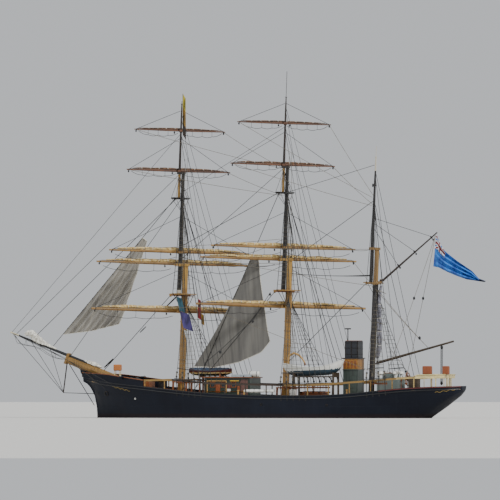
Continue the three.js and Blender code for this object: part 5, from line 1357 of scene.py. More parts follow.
def add_cloth(draft: MeshDraft, flat: Callable[[float, float], Vector],
              swell: Callable[[float, float], float], aside: Row, columns: int, rows: int, thickness: float,
              colour: Callable[[float, float], int] = lambda u, v: 0) -> None:
    """Adds a closed thin sheet over a four-sided outline.

    Args:
        draft: the piece that it belongs to.
        flat: gives the flat sheet's point at two shares, across and down.
        swell: how far the cloth stands out at those shares.
        aside: the direction in which it stands out.
        columns: squares across.
        rows: squares down.
        thickness: the cloth's thickness.
        colour: the finish at those shares; the edges have the first one.
    """
    points = []
    for face, r, c in product((0.5, -0.5), range(rows + 1), range(columns + 1)):
        u, v = c / columns, r / rows
        points.append(flat(u, v) + Vector(aside) * (swell(u, v) + face * thickness))
    layer = (rows + 1) * (columns + 1)
    at = lambda r, c, k: k * layer + r * (columns + 1) + c
    faces: list[Face] = []
    slots: list[int] = []
    around = ((0, 0), (0, 1), (1, 1), (1, 0))
    for r, c in product(range(rows), range(columns)):
        faces.append(tuple(at(r + i, c + j, 0) for i, j in around))
        faces.append(tuple(at(r + j, c + i, 1) for i, j in around))
        slots += [colour(c / columns, r / rows)] * 2
    rim = [(0, c) for c in range(columns)] + [(r, columns) for r in range(rows)]
    rim += [(rows, c) for c in range(columns, 0, -1)] + [(r, 0) for r in range(rows, 0, -1)]
    for a, b in zip(rim, rim[1:] + rim[:1]):
        faces.append((at(*a, 0), at(*a, 1), at(*b, 1), at(*b, 0)))
    draft.add(points, faces, slots + [0] * len(rim))


def along_path(path: Sequence[Row], share: float) -> Vector:
    """Gives the point at a share of a path's length."""
    line = [Vector(p) for p in path]
    lengths = [(b - a).length for a, b in zip(line, line[1:])]
    left = share * sum(lengths)
    for a, b, length in zip(line, line[1:], lengths):
        if left <= length + 1e-6:
            return a.lerp(b, min(1.0, left / length))
        left -= length
    return line[-1]


def upright(outline: Sequence[tuple[float, float]]) -> list[Vector]:
    """Turns x and z on the centreline into points."""
    return [Vector((x, 0, z)) for x, z in outline]


@dataclass(frozen=True)
class HangingSail:
    """A three-cornered sail hanging slack in upright folds from its stay, with its edge ropes and hanks.

    stay is its upper and lower end, and shares say where along it the sail's head and tack are. foot lists
    x and z from the tack to the clew, leech from the clew up to the head. bow is how far the slack luff has
    slid forward of the stay at the tack. flat is the cut sail's box, and area its area; they are not used.
    """

    name: str
    node: str
    finish: Finish
    stay: tuple[Vector, Vector]
    shares: tuple[float, float]
    foot: tuple[tuple[float, float], ...]
    leech: tuple[tuple[float, float], ...]
    folds: int
    depth: float
    flat: tuple[float, float]
    area: float
    bow: float = 0.0
    thickness: float = 0.03
    hank_pitch: float = 0.75

    def build(self) -> None:
        """Builds the sail."""
        head, stay_tack = (self.stay[0].lerp(self.stay[1], share) for share in self.shares)
        tack = stay_tack - Vector((self.bow, 0, 0))
        foot = [tack, *upright(self.foot)]
        leech = [head, *upright(self.leech[::-1])]
        clew = along_path(leech, 1.0)
        rng = random.Random(SEED)
        waves = [(rng.uniform(0.7, 1.4), rng.uniform(0, math.tau), rng.uniform(0.5, 1.0)) for _ in range(3)]

        def flat_point(u: float, v: float) -> Vector:
            """Gives the point at a share from luff to leech and from head to foot."""
            left = head.lerp(stay_tack, v) - Vector((self.bow * v ** 2.5, 0, 0))
            return left.lerp(along_path(leech, v), u) + (along_path(foot, u) - tack.lerp(clew, u)) * v ** 2

        def swell(u: float, v: float) -> float:
            """Gives the folds: sharp along the foot, dying out towards the head and the stay."""
            across = u * (0.25 + 0.75 * v) * math.tau * self.folds
            wave = sum(a * math.sin(across * f + p) for f, p, a in waves) / 2
            edge = min(1.0, u * 6) * (0.35 + 0.65 * min(1.0, (1 - u) * 5))
            return self.depth * (wave * edge * (0.12 + 0.88 * v ** 0.8) + 0.55 * math.sin(math.pi * u) * v)

        draft = MeshDraft(self.name, self.finish)
        add_cloth(draft, flat_point, swell, (0, -1, 0), 96, 60, self.thickness)
        sail = draft.make(crease=60, replaces=[self.node])
        flat = tuple(side * MODEL_SCALE for side in self.flat)
        edges = MeshDraft(f"{self.name}_ropes_and_hanks", PALE_ROPE, IRON)
        rim = lambda u, v: flat_point(u, v) + Vector((0, -swell(u, v), 0))
        edges.tube([rim(t, 1.0) for t in evenly(0, 1, 30)], 0.03)
        edges.tube([rim(1.0, t) for t in evenly(0, 1, 30)], 0.028)
        count = int((tack - head).length / self.hank_pitch)
        for share in evenly(*self.shares, count)[1:-1]:
            edges.hoop(about("Y", 35, self.stay[0].lerp(self.stay[1], share)), 0.03, 0.055, 0.03, 8, 1)
        edges.make()


@dataclass(frozen=True)
class RolledSail:
    """A sail rolled up along a path: a lumpy roll pinched in by gaskets.

    radii are its thickness along the path, pitch is the distance between gaskets, and seed varies the lumps.
    """

    name: str
    path: Sequence[Vector]
    radii: Row
    finish: Finish
    body: str = HULL_BODY
    replaces: tuple[str, ...] = ()
    pitch: float = 0.55
    seed: int = 0
    step: float = 0.07
    sides: int = 18
    fill: float = 0.35

    def build(self) -> None:
        """Builds the roll and its gaskets."""
        rng = random.Random(SEED + self.seed)
        total = sum((b - a).length for a, b in zip(self.path, self.path[1:]))
        steps = max(24, int(total / self.step))
        line = [along_path(self.path, share) for share in evenly(0, 1, steps)]
        lumps = [(rng.uniform(0.8, 3.0), rng.randint(1, 4), rng.uniform(0, math.tau), rng.uniform(0.05, 0.12))
                 for _ in range(7)]
        thickness = tuple(enumerate(self.radii))
        rings, gaskets = [], []
        for i, at in enumerate(line):
            along = (line[min(i + 1, steps)] - line[max(i - 1, 0)]).normalized()
            first = (Vector((0, 1, 0)) - along * along.y).normalized()
            second = along.cross(first)
            place = total * i / steps
            off = abs(place / self.pitch - round(place / self.pitch)) * self.pitch
            inside = 0 < i < steps
            size = straight(thickness, i / steps * (len(self.radii) - 1)) * (1 if inside else 0.5)
            size *= 1 - 0.26 * math.exp(-(off / 0.06) ** 2)
            ring = []
            for turn in [math.tau * c / self.sides for c in range(self.sides)]:
                r = size * (1 + sum(a * math.sin(f * place + n * turn + p) for f, n, p, a in lumps))
                ring.append(at + first * (math.cos(turn) * r) + second * (math.sin(turn) * r))
            rings.append(ring)
            if inside and off < total / steps * 0.5:
                gaskets.append([at + (p - at) * 1.03 for p in ring])
        draft = MeshDraft(self.name, self.finish)
        draft.rings(rings)
        draft.make(self.body, 60, self.replaces)
        if gaskets:
            ties = MeshDraft(f"{self.name}_gaskets", PALE_ROPE)
            for loop in gaskets:
                ties.tube(loop + loop[:1], 0.02, 5)
            ties.make(self.body)


@dataclass
class Sails:
    """The hanging jib and staysail, and the sails that are rolled up and lashed."""

    # Distance out on the jibboom, height above it and thickness of the heap of furled headsails.
    heap: Rows = (
        (6.9, 0.15, 0.07), (7.8, 0.19, 0.13), (8.6, 0.26, 0.18), (9.2, 0.4, 0.28), (9.6, 0.56, 0.36),
        (9.9, 0.7, 0.34), (10.2, 0.6, 0.26), (10.5, 0.3, 0.12))
    yard_rolls: Row = (0.16, 0.15, 0.15, 0.1, 0.085)
    yard_shares: Row = (-0.88, -0.7, -0.5, -0.3, -0.1, 0.1, 0.3, 0.5, 0.7, 0.88)
    yard_fullness: Row = (0.35, 0.8, 1, 1, 1.15, 1.15, 1, 1, 0.8, 0.35)

    def hanging(self) -> tuple[HangingSail, HangingSail]:
        """Gives the two sails that hang to dry."""
        jib = HangingSail(
            "jib_hanging", "jib", JIB_CANVAS, (FORE.at(-1.35, 0, FORE.crosstrees - 0.1), SPRIT.on_boom(7.45)),
            (0.26, 0.905), foot=((-20.3, 8.1), (-17.6, 8.4), (-14.85, 9.05)),
            leech=((-14.85, 9.05), (-14.5, 9.6), (-13.75, 11.8), (-12.55, 15.2), (-11.9, 17.1)),
            folds=7, depth=0.22, flat=(13.4, 8.6), area=42.0)
        staysail = HangingSail(
            "main_staysail_hanging", "main_staysail", STAYSAIL_CANVAS,
            (MAIN.at(-1.35, 0, MAIN.crosstrees - 0.1), Vector((-7.35, 0, 2.0))),
            (0.3, 0.849), foot=((-4.93, 4.87), (-2.36, 5.4), (-0.11, 6.36), (0.71, 7.4)),
            leech=((0.71, 7.4), (0.5, 8.3), (0.1, 10.8), (-0.3, 13.5), (-0.45, 15.3)),
            folds=3, depth=0.16, flat=(13.0, 7.2), area=36.0, bow=1.1)
        return jib, staysail

    def rolled(self) -> list[RolledSail]:
        """Gives the rolled sails of the mizzen, the jibboom and the bowsprit."""
        heights = (5.75, 6.6, 7.6, 8.6, 9.6, 10.6, 11.6, 12.4, 12.8)
        return [
            RolledSail("brailed_spanker_roll", [MIZZEN.at(0.53 + 0.1 * math.sin(z), 0, z) for z in heights],
                       (0.16, 0.25, 0.24, 0.23, 0.21, 0.22, 0.19, 0.15, 0.09), GREY_STOWED,
                       replaces=("brailed_spanker",), pitch=1.3, seed=3),
            RolledSail("furled_headsails_roll", [SPRIT.on_boom(u, lift) for u, lift, _ in self.heap],
                       [radius for _, _, radius in self.heap], WHITE_STOWED,
                       replaces=("furled_headsails",), seed=5),
            RolledSail("stowed_fore_staysail", [SPRIT.at(u, 0.55) for u in (1.9, 2.4, 2.9, 3.3, 3.8)],
                       (0.07, 0.18, 0.22, 0.17, 0.07), WHITE_STOWED, seed=7)]

    def on_yard(self, yard: Yard, order: int) -> RolledSail:
        """Gives the sail stowed on a yard, by the yard's order from below."""
        fat = self.yard_rolls[order]
        path = [yard.at(s, 0.06, yard.thickness(s) + fat * 0.65) for s in self.yard_shares]
        return RolledSail(f"{yard.name}_stowed_sail", path, [fat * full for full in self.yard_fullness],
                          STOWED if order < 3 else BROWN_STOWED, yard.name, pitch=0.9, seed=20 + order)

    def build(self) -> None:
        """Builds every sail."""
        on_yards = [self.on_yard(yard, i) for mast in (FORE, MAIN) for i, yard in enumerate(mast.yards())]
        for sail in (*self.hanging(), *self.rolled(), *on_yards):
            sail.build()


@dataclass
class Colours:
    """The ensign at the gaff's peak, and the small flags with their halyards."""

    hoist: float = 2.9
    fly: float = 6.3
    pleats: float = 3.5
    # The hanging ensign's upper and lower outline from the peak: x and z.
    ensign_top: Rows = ((0, -0.27), (0.18, -0.27), (0.54, -1.04), (1.07, -1.68), (2.27, -2.53),
                                   (3.73, -3.43), (4.4, -4.13), (5.2, -4.38))
    ensign_low: Rows = ((-0.14, -3.18), (0.44, -3.27), (1.3, -3.66), (2.34, -4.03), (3.25, -4.29),
                                   (5.1, -4.46))
    canton: tuple[float, float] = (0.24, 0.4)
    border: float = 0.9

    def ensign_colour(self, u: float, v: float) -> int:
        """Gives the ensign's finish: a dark fly edge, a crossed canton, and a blue field."""
        if u > self.border:
            return 3
        if u >= self.canton[0] or v >= self.canton[1]:
            return 0
        x, y = u / self.canton[0], v / self.canton[1]
        straight_cross, diagonal = min(abs(x - 0.5), abs(y - 0.5)), min(abs(x - y), abs(x + y - 1))
        for off, red, white in ((straight_cross, 0.09, 0.19), (diagonal, 0.06, 0.16)):
            if off < white:
                return 2 if off < red else 1
        return 0

    def ensign(self) -> None:
        """Builds the ensign: it hangs in deep slanting folds from the peak."""
        turn = math.radians(MIZZEN.gaff_rise)
        out = math.cos(turn) * MIZZEN.gaff_length - 0.1
        pin_x, pin_z = MIZZEN.gaff_pin
        place = MIZZEN.place @ Matrix.Translation((pin_x + out, 0, pin_z + math.tan(turn) * out))
        top, low = upright(self.ensign_top), upright(self.ensign_low)
        pleat = self.hoist / (2 * self.pleats)

        def flat_point(u: float, v: float) -> Vector:
            """Gives the point at a share along the fly and down the hoist."""
            return place @ along_path(top, u).lerp(along_path(low, u), v)

        def swell(u: float, v: float) -> float:
            """Gives the pleats along the fly, deep enough to take in the whole width of the cloth."""
            across = (along_path(top, u) - along_path(low, u)).length / (2 * self.pleats)
            depth = 0.5 * math.sqrt(max(0.0, pleat ** 2 - across ** 2))
            return depth * math.sin(v * math.tau * self.pleats + u * 4) + 0.1 * math.sin(u * 6)

        draft = MeshDraft("ensign_cloth", BLUE, WHITE_BUNTING, RED_BUNTING, NAVY)
        add_cloth(draft, flat_point, swell, (0, -1, 0), 84, 56, 0.025, self.ensign_colour)
        made = draft.make("gaff", 60, ["ensign"])

    @staticmethod
    def flag(name: str, top: Vector, foot: Vector, width: float, droop: float, finishes: Sequence[Finish],
             bands: Row = ()) -> None:
        """Builds a small flag hanging limp from its halyard.

        Args:
            name: the piece's name.
            top: the hoist's upper end.
            foot: its lower end.
            width: the flag's width as it hangs.
            droop: how far its fly droops, as a share of the width.
            finishes: its colours down the hoist.
            bands: the shares of the hoist at which they change.
        """
        flat_point = lambda u, v: top.lerp(foot, v) + Vector((u * width * 0.75, 0, -u * width * droop))
        swell = lambda u, v: 0.09 * math.sin(u * 7 + v * 6) * min(1.0, u * 5)
        draft = MeshDraft(name, *finishes)
        add_cloth(draft, flat_point, swell, (0.3, -0.95, 0), 14, 24, 0.012,
                  lambda u, v: sum(v > b for b in bands))
        draft.make(crease=60)

    def build(self) -> None:
        """Builds the flags and their halyards."""
        self.ensign()
        truck = FORE.at(FORE.pole_x, 0, FORE.truck)
        truck_top, truck_foot = truck + Vector((0.12, -0.1, 1.0)), truck + Vector((0.14, -0.1, -3.0))
        top, foot = Vector((-8.33, -1.55, 11.7)), Vector((-7.3, -1.55, 7.42))
        red_top, red_foot = Vector((-6.12, -1.55, 11.5)), Vector((-6.12, -1.55, 9.65))
        olive_top, olive_foot = Vector((-5.85, -1.45, 10.1)), Vector((-5.8, -1.45, 9.1))
        truck_colours = (YELLOW_BUNTING, OLIVE, DARK_BUNTING)
        self.flag("fore_truck_flag", truck_top, truck_foot, 0.42, 1.2, truck_colours, (0.33, 0.7))
        self.flag("upper_signal", top, top.lerp(foot, 0.32), 0.75, 0.25, (TEAL_BUNTING,))
        self.flag("middle_signal", top.lerp(foot, 0.33), top.lerp(foot, 0.71), 1.3, 0.25, (INDIGO,))
        self.flag("lower_signal", top.lerp(foot, 0.75), foot, 0.5, 0.25, (WHITE_BUNTING,))
        self.flag("red_signal", red_top, red_foot, 0.42, 0.5, (RED_BUNTING,))
        self.flag("olive_signal", olive_top, olive_foot, 0.42, 0.5, (OLIVE,))
        draft = MeshDraft("flag_halyards", HEMP)
        draft.tube([FORE.at(-0.55, -1.15, FORE.top), top, foot, (-7.0, -2.6, 4.0)], 0.012, 4)
        draft.tube([FORE.at(0.3, -1.2, FORE.top), red_top, red_foot, (-6.3, -2.6, 4.0)], 0.012, 4)
        draft.tube([FORE.at(0.35, -1.15, FORE.top), olive_top, olive_foot, (-5.6, -2.6, 4.0)], 0.012, 4)
        draft.tube([truck_top - Vector((0, 0, 0.02)), truck_foot, FORE.at(0.1, -0.9, 12.2)], 0.01, 4)
        draft.make()


def add_blocks(draft: MeshDraft, boxes: Sequence[Row], y: float, side: int,
               chamfer: float = 0.015) -> None:
    """Adds blocks on an upright wall.

    Args:
        draft: the piece that they belong to.
        boxes: x from and to, height from and to, how far it stands in or out from and to, and its finish.
        y: the wall's place.
        side: which way is outwards.
        chamfer: how much their edges are planed off.
    """
    for x0, x1, z0, z1, near, far, slot in boxes:
        draft.block((x0, y + side * near, z0), (x1, y + side * far, z1), slot, chamfer=chamfer)


@dataclass
class Houses:
    """The forward house, the charthouse and the trunks: panels, windows, trim and what stands on them."""

    wall_y: float = 1.55
    panels: Rows = ((-5.35, -4.9), (-4.3, -3.8), (-3.2, -2.75), (-2.15, -1.82))
    panel_rows: Rows = ((2.5, 2.9), (3.05, 3.62))
    windows: Row = (-4.6, -3.5, -2.45)
    # The window frame's bars about a window's middle: x from and to, and height from and to.
    window_frame: Rows = (
        (-0.27, 0.27, 3.42, 3.49), (-0.27, 0.27, 2.93, 3.0), (-0.27, -0.2, 3.0, 3.42), (0.2, 0.27, 3.0, 3.42))
    # On the port wall: door frames, boxes, ladder and boards, as x, height and how far they stand out.
    port_boxes: Rows = (
        (-5.2, -3.15, 3.52, 3.61, 0, 0.07, 6), (-5.2, -5.1, 2.45, 3.52, 0, 0.06, 6),
        (-3.24, -3.15, 2.45, 3.52, 0, 0.06, 6), (-4.28, -3.82, 2.45, 3.4, 0, 0.05, 4),
        (-3.1, -2.76, 2.5, 2.8, 0, 0.06, 7), (-3.1, -2.76, 2.86, 3.25, 0, 0.05, 8),
        (-2.83, -1.9, 3.53, 3.62, 0, 0.06, 9), (-2.05, -1.82, 2.6, 3.1, 0, 0.07, 4))
    canister: Rows = (
        (0.04, -0.6), (0.26, -0.58), (0.3, -0.52), (0.3, -0.03), (0.315, -0.02),
        (0.315, 0.02), (0.3, 0.03), (0.3, 0.52), (0.26, 0.58), (0.04, 0.6))
    chart_ends: tuple[float, float] = (8.5, 10.0)
    chart_half: float = 0.9
    # Its front windows' bars about a window's middle: y from and to, and height from and to.
    chart_frame: Rows = (
        (-0.22, 0.22, 5.4, 5.47), (-0.22, 0.22, 4.68, 4.75), (-0.22, -0.17, 4.75, 5.4),
        (0.17, 0.22, 4.75, 5.4))
    mushroom_vent: Rows = (
        (0.1, 0), (0.1, 0.42), (0.12, 0.44), (0.27, 0.5), (0.27, 0.62), (0.2, 0.72), (0.02, 0.76))
    cowl: Rows = ((0.1, -0.3), (0.1, 0.25), (0.18, 0.35), (0.22, 0.55), (0.2, 0.55), (0.02, 0.45))

    def forward(self) -> None:
        """Dresses the forward house and panels its sides."""
        dress(GREEN, "forward_house_walls")
        dress(TEAK, "forward_house_roof", "forward_house_starboard_door")
        dress(DOOR, "forward_house_port_door")
        finishes = (GREEN, PALE_GREY, TEAK, GLASS, ORANGE, BRONZE, TAN, WHITE, RED, YELLOW)
        draft = MeshDraft("forward_house_joinery", *finishes)
        trim = [(*ends, *heights, 0, 0.03, 0) for ends, heights in product(self.panels, self.panel_rows)]
        for x, (x0, x1, z0, z1) in product(self.windows, self.window_frame):
            trim.append((x + x0, x + x1, z0, z1, 0, 0.045, 2))
        trim.append((-5.54, -0.66, 3.86, 3.93, 0, 0.17, 2))
        panes = [(x - 0.2, x + 0.2, 3.0, 3.42, -0.06, -0.03, 3) for x in self.windows]
        for _, side in SIDES:
            add_blocks(draft, trim, side * self.wall_y, side)
            add_blocks(draft, panes, side * self.wall_y, side, chamfer=0.004)
            draft.tube([(-5.3, side * 1.6, 2.55), (-0.9, side * 1.6, 2.55)], 0.03, 6, 5)
        add_blocks(draft, self.port_boxes, -self.wall_y, -1)
        for x0, x1 in ((-2.68, -1.5), (-1.38, -0.72)):
            draft.block((x0, -1.64, 3.86), (x1, -1.25, 4.2), 1, chamfer=0.03)
        draft.make()

    def rafts(self) -> None:
        """Adds the white raft canister on its cradle."""
        draft = MeshDraft("raft_canisters", WHITE, IRON)
        place = about("Y", 90, (-0.62, -0.85, 4.22))
        draft.turned(place, self.canister, 20)
        for off in (-0.35, 0.35):
            draft.hoop(place @ Matrix.Translation((0, 0, off)), 0.2, 0.316, 0.03, 20, 1, chamfer=0.005)
        for x in (-1.0, -0.72):
            draft.block((x - 0.04, -1.15, 3.87), (x + 0.04, -0.55, 4.05), 1)
        draft.make()

    def chart(self) -> None:
        """Dresses the charthouse: varnished panels over painted steel, and the dark box on its roof."""
        for finish, node in ((CHART_WALLS, "walls"), (BLUE_BLACK, "top"), (GREY_GREEN, "door")):
            dress(finish, f"charthouse_{node}")
        draft = MeshDraft("charthouse_joinery", PANEL, GREY_GREEN, GLASS, IRON, TEAK)
        x0, x1 = self.chart_ends
        width = (x1 - x0 - 0.1) / 4
        trim = [(x0 - 0.05, x1 + 0.05, 4.6, 4.7, 0, 0.06, 1)]
        for i in range(4):
            left = x0 + 0.07 + i * width
            trim += [(left, left + width - 0.06, 4.76, 5.6, 0, 0.04, 0),
                     (left + 0.05, left + width - 0.11, 4.84, 5.52, 0.035, 0.055, 4)]
        for _, side in SIDES:
            add_blocks(draft, trim, side * self.chart_half, side)
        for y in (-0.5, 0, 0.5):
            for y0, y1, z0, z1 in self.chart_frame:
                draft.block((x0 - 0.06, y + y0, z0), (x0, y + y1, z1), 4)
            draft.block((x0 - 0.03, y - 0.17, 4.75), (x0 - 0.001, y + 0.17, 5.4), 2, chamfer=0.004)
        for z in (6.1, 6.7, 7.2):
            draft.block((8.6, -0.745, z), (9.97, 0.745, z + 0.05), 3)
        for x, y in product((8.66, 9.28, 9.9), (-0.735, 0.735)):
            draft.block((x - 0.04, y - 0.015, 5.8), (x + 0.04, y + 0.015, 7.38), 3)
        draft.block((8.66, -0.68, 7.4), (9.91, 0.68, 7.46), 4)
        draft.tube([(8.78, -0.3, 7.4), (8.78, -0.3, 8.62)], 0.05, 8, 3)
        draft.tube([(8.48, -0.3, 8.58), (9.08, -0.3, 8.58)], 0.06, 8, 3)
        draft.make()

    def trunks(self) -> None:
        """Dresses the after trunk and the main hatch, with their covers, wedges and vents."""
        dress(TRUNK_GREY, "after_trunk")
        dress(TEAK, "main_hatch")
        draft = MeshDraft("hatch_and_trunk_fittings", WHITE, TEAK, IRON)
        for x, y in product((12.3, 13.8), (-0.85, 0.85)):
            draft.turned(Matrix.Translation((x, y, 3.75)), self.mushroom_vent)
        draft.turned(about("Y", 20, (13.9, -0.9, 4.0)), self.cowl, 14)
        for x, y in product((4.3, 4.9, 5.5, 6.1), (-1.13, 1.13)):
            draft.block((x - 0.06, y - 0.03, 2.4), (x + 0.06, y + 0.03, 2.52), 2)
        for x in (4.55, 5.25, 5.95):
            draft.block((x - 0.04, -1.08, 2.55), (x + 0.04, 1.08, 2.59), 2)
        draft.block((12.5, -0.5, 4.3), (13.6, 0.5, 4.36), 1)
        draft.make()

    def build(self) -> None:
        """Builds every house."""
        self.forward()
        self.rafts()
        self.chart()
        self.trunks()


@dataclass(frozen=True)
class Boat:
    """A boat's sizes: its middle, length, breadth, keel, and the gunwale's height amidships and at its ends.

    inner is the depth of its hollow as a share of its depth. rise says how far the keel comes up at the ends,
    as a share of the depth, and how late, as a power.
    """

    x: float
    y: float
    length: float
    beam: float
    keel: float
    sheer: float
    ends: tuple[float, float]
    inner: float
    rise: tuple[float, float]

    @staticmethod
    def fullness(t: float, least: float = 0.03) -> float:
        """Gives the breadth at t, from -1 at the forward end to 1, as a share of the beam."""
        return max(least, 1 - abs(t) ** 2.6) ** 0.62

    def gunwale(self, t: float) -> float:
        """Gives the gunwale's height at t."""
        return self.sheer + (self.ends[0 if t < 0 else 1] - self.sheer) * t * t

    def rings(self, line: Callable[[float], float] = lambda t: -1.0) -> list[list[Vector]]:
        """Gives its cross-sections from bow to stern.

        Args:
            line: gives the height at which the colour changes, so that each section has a point there.

        Returns:
            One closed outline for each section.
        """
        rings = []
        for t in evenly(-0.995, 0.995, 36):
            top, half = self.gunwale(t), self.beam / 2 * self.fullness(t)
            low = self.keel + (self.ends[1] - self.ends[0]) * 0.35 * t
            low += (top - self.keel) * self.rise[0] * abs(t) ** self.rise[1]
            turns = evenly(0, math.pi / 2, 11)
            share = (line(t) - low) / (top - low)
            if 0 < share < 1:
                painted = math.acos((1 - share) ** 0.8)
                turns[min(range(1, 11), key=lambda k: abs(math.cos(turns[k]) ** 1.25 - 1 + share))] = painted
            outer = []
            for turn in turns:
                up = 1 - max(0.0, math.cos(turn)) ** 1.25
                outer.append((math.sin(turn) ** 0.75 * half, low + (top - low) * up))
            wall = half - 0.05
            inside = [(max(0.01, wall), top), (max(0.008, wall * 0.86), (top + low) / 2),
                      (0.006, top - (top - low) * self.inner)]
            side = (outer + inside)[1:]
            here = self.x + t * self.length / 2
            outline = side + [(-y, z) for y, z in side[::-1]] + [(0, low)]
            rings.append([Vector((here, self.y + y, z)) for y, z in outline])
        return rings


@dataclass
class Boats:
    """The open longboat on its gallows and the covered boat on the forward house."""

    long: Boat = Boat(5.91, -2.0, 6.24, 1.68, 4.06, 4.86, (5.25, 5.66), 0.72, (0.85, 5.0))
    covered: Boat = Boat(-5.75, 0.98, 4.4, 1.4, 4.04, 4.55, (4.78, 4.78), 0.35, (0.42, 4.0))
    cover_flat: tuple[float, float] = (4.5, 1.75)

    @staticmethod
    def paint_line(t: float) -> float:
        """Gives the height under which the longboat's side is coloured blue-green as painted shade."""
        return 4.6 + 0.12 * t

    def longboat(self) -> None:
        """Builds the open longboat: white topsides over a blue-green lower side that is painted shade, with
        thwarts and gunwale.
        """
        boat = self.long
        draft = MeshDraft("port_longboat_open", WHITE, LONGBOAT_PAINTED_SHADE, TEAK, CREAM)
        rings = boat.rings(self.paint_line)

        def painted(r: int, i: int) -> int:
            """Gives the finish of a face: the blue-green painted shade where its middle lies under the line.
            """
            a, b = rings[r][i], rings[r][(i + 1) % len(rings[r])]
            return int((a.z + b.z) / 2 < self.paint_line((a.x - boat.x) / (boat.length / 2)))

        draft.rings(rings, slots=painted)
        at = lambda t, y, z: (boat.x + t * boat.length / 2, boat.y + y, boat.gunwale(t) + z)
        for _, side in SIDES:
            half = side * boat.beam / 2
            draft.tube([at(t, half * boat.fullness(t), 0.01) for t in evenly(-0.97, 0.97, 32)], 0.035)
        for t in (-0.6, -0.3, 0.0, 0.3, 0.6):
            x, y, z = at(t, boat.fullness(t) * 0.8, -0.19)
            draft.block((x - 0.1, 2 * boat.y - y, z - 0.03), (x + 0.1, y, z + 0.02), 3)
        draft.make(crease=40, replaces=["port_longboat"])

    def house_boat(self) -> None:
        """Builds the covered boat: cream and red topsides over green."""
        draft = MeshDraft("house_boat_hull", CREAM, RED, GREEN)
        rings = self.covered.rings()
        draft.rings(rings, slots=lambda r, i: 1 if rings[r][i].z > 4.42 else 0 if rings[r][i].z > 4.3 else 2)
        draft.make(crease=40, replaces=["house_boat"])

    def cover(self) -> None:
        """Stretches the canvas cover over a ridge along the covered boat."""
        boat = self.covered
        rings = []
        for i, t in enumerate(evenly(-0.97, 0.97, 30)):
            half = boat.fullness(t, 0.04) * (boat.beam / 2 + 0.03)
            edge = 4.5 + 0.23 * t * t
            rise = 0.34 * (1 - t * t) ** 0.6 + 0.03 * math.sin(i * 2.1)
            outer, inner = [], []
            for k, s in enumerate(evenly(-1, 1, 14)):
                sag = 0.05 * math.sin(math.pi * abs(s)) + 0.012 * math.sin(i * 1.7 + k * 2.3)
                z = edge + rise * (1 - abs(s)) ** 1.05 - sag * (1 - abs(s))
                outer.append(Vector((boat.x + t * boat.length / 2, boat.y + s * half, z)))
                inner.append(Vector((boat.x + t * boat.length / 2, boat.y + s * (half - 0.012), z - 0.016)))
            rings.append(outer + inner[::-1])
        draft = MeshDraft("house_boat_cover", COVER)
        draft.rings(rings)
        made = draft.make(crease=60)
        tuple(side * MODEL_SCALE for side in self.cover_flat)

    def build(self) -> None:
        """Builds both boats and dresses the gallows."""
        dress(DARK_BOOM, "boat_gallows")
        self.longboat()
        self.house_boat()
        self.cover()


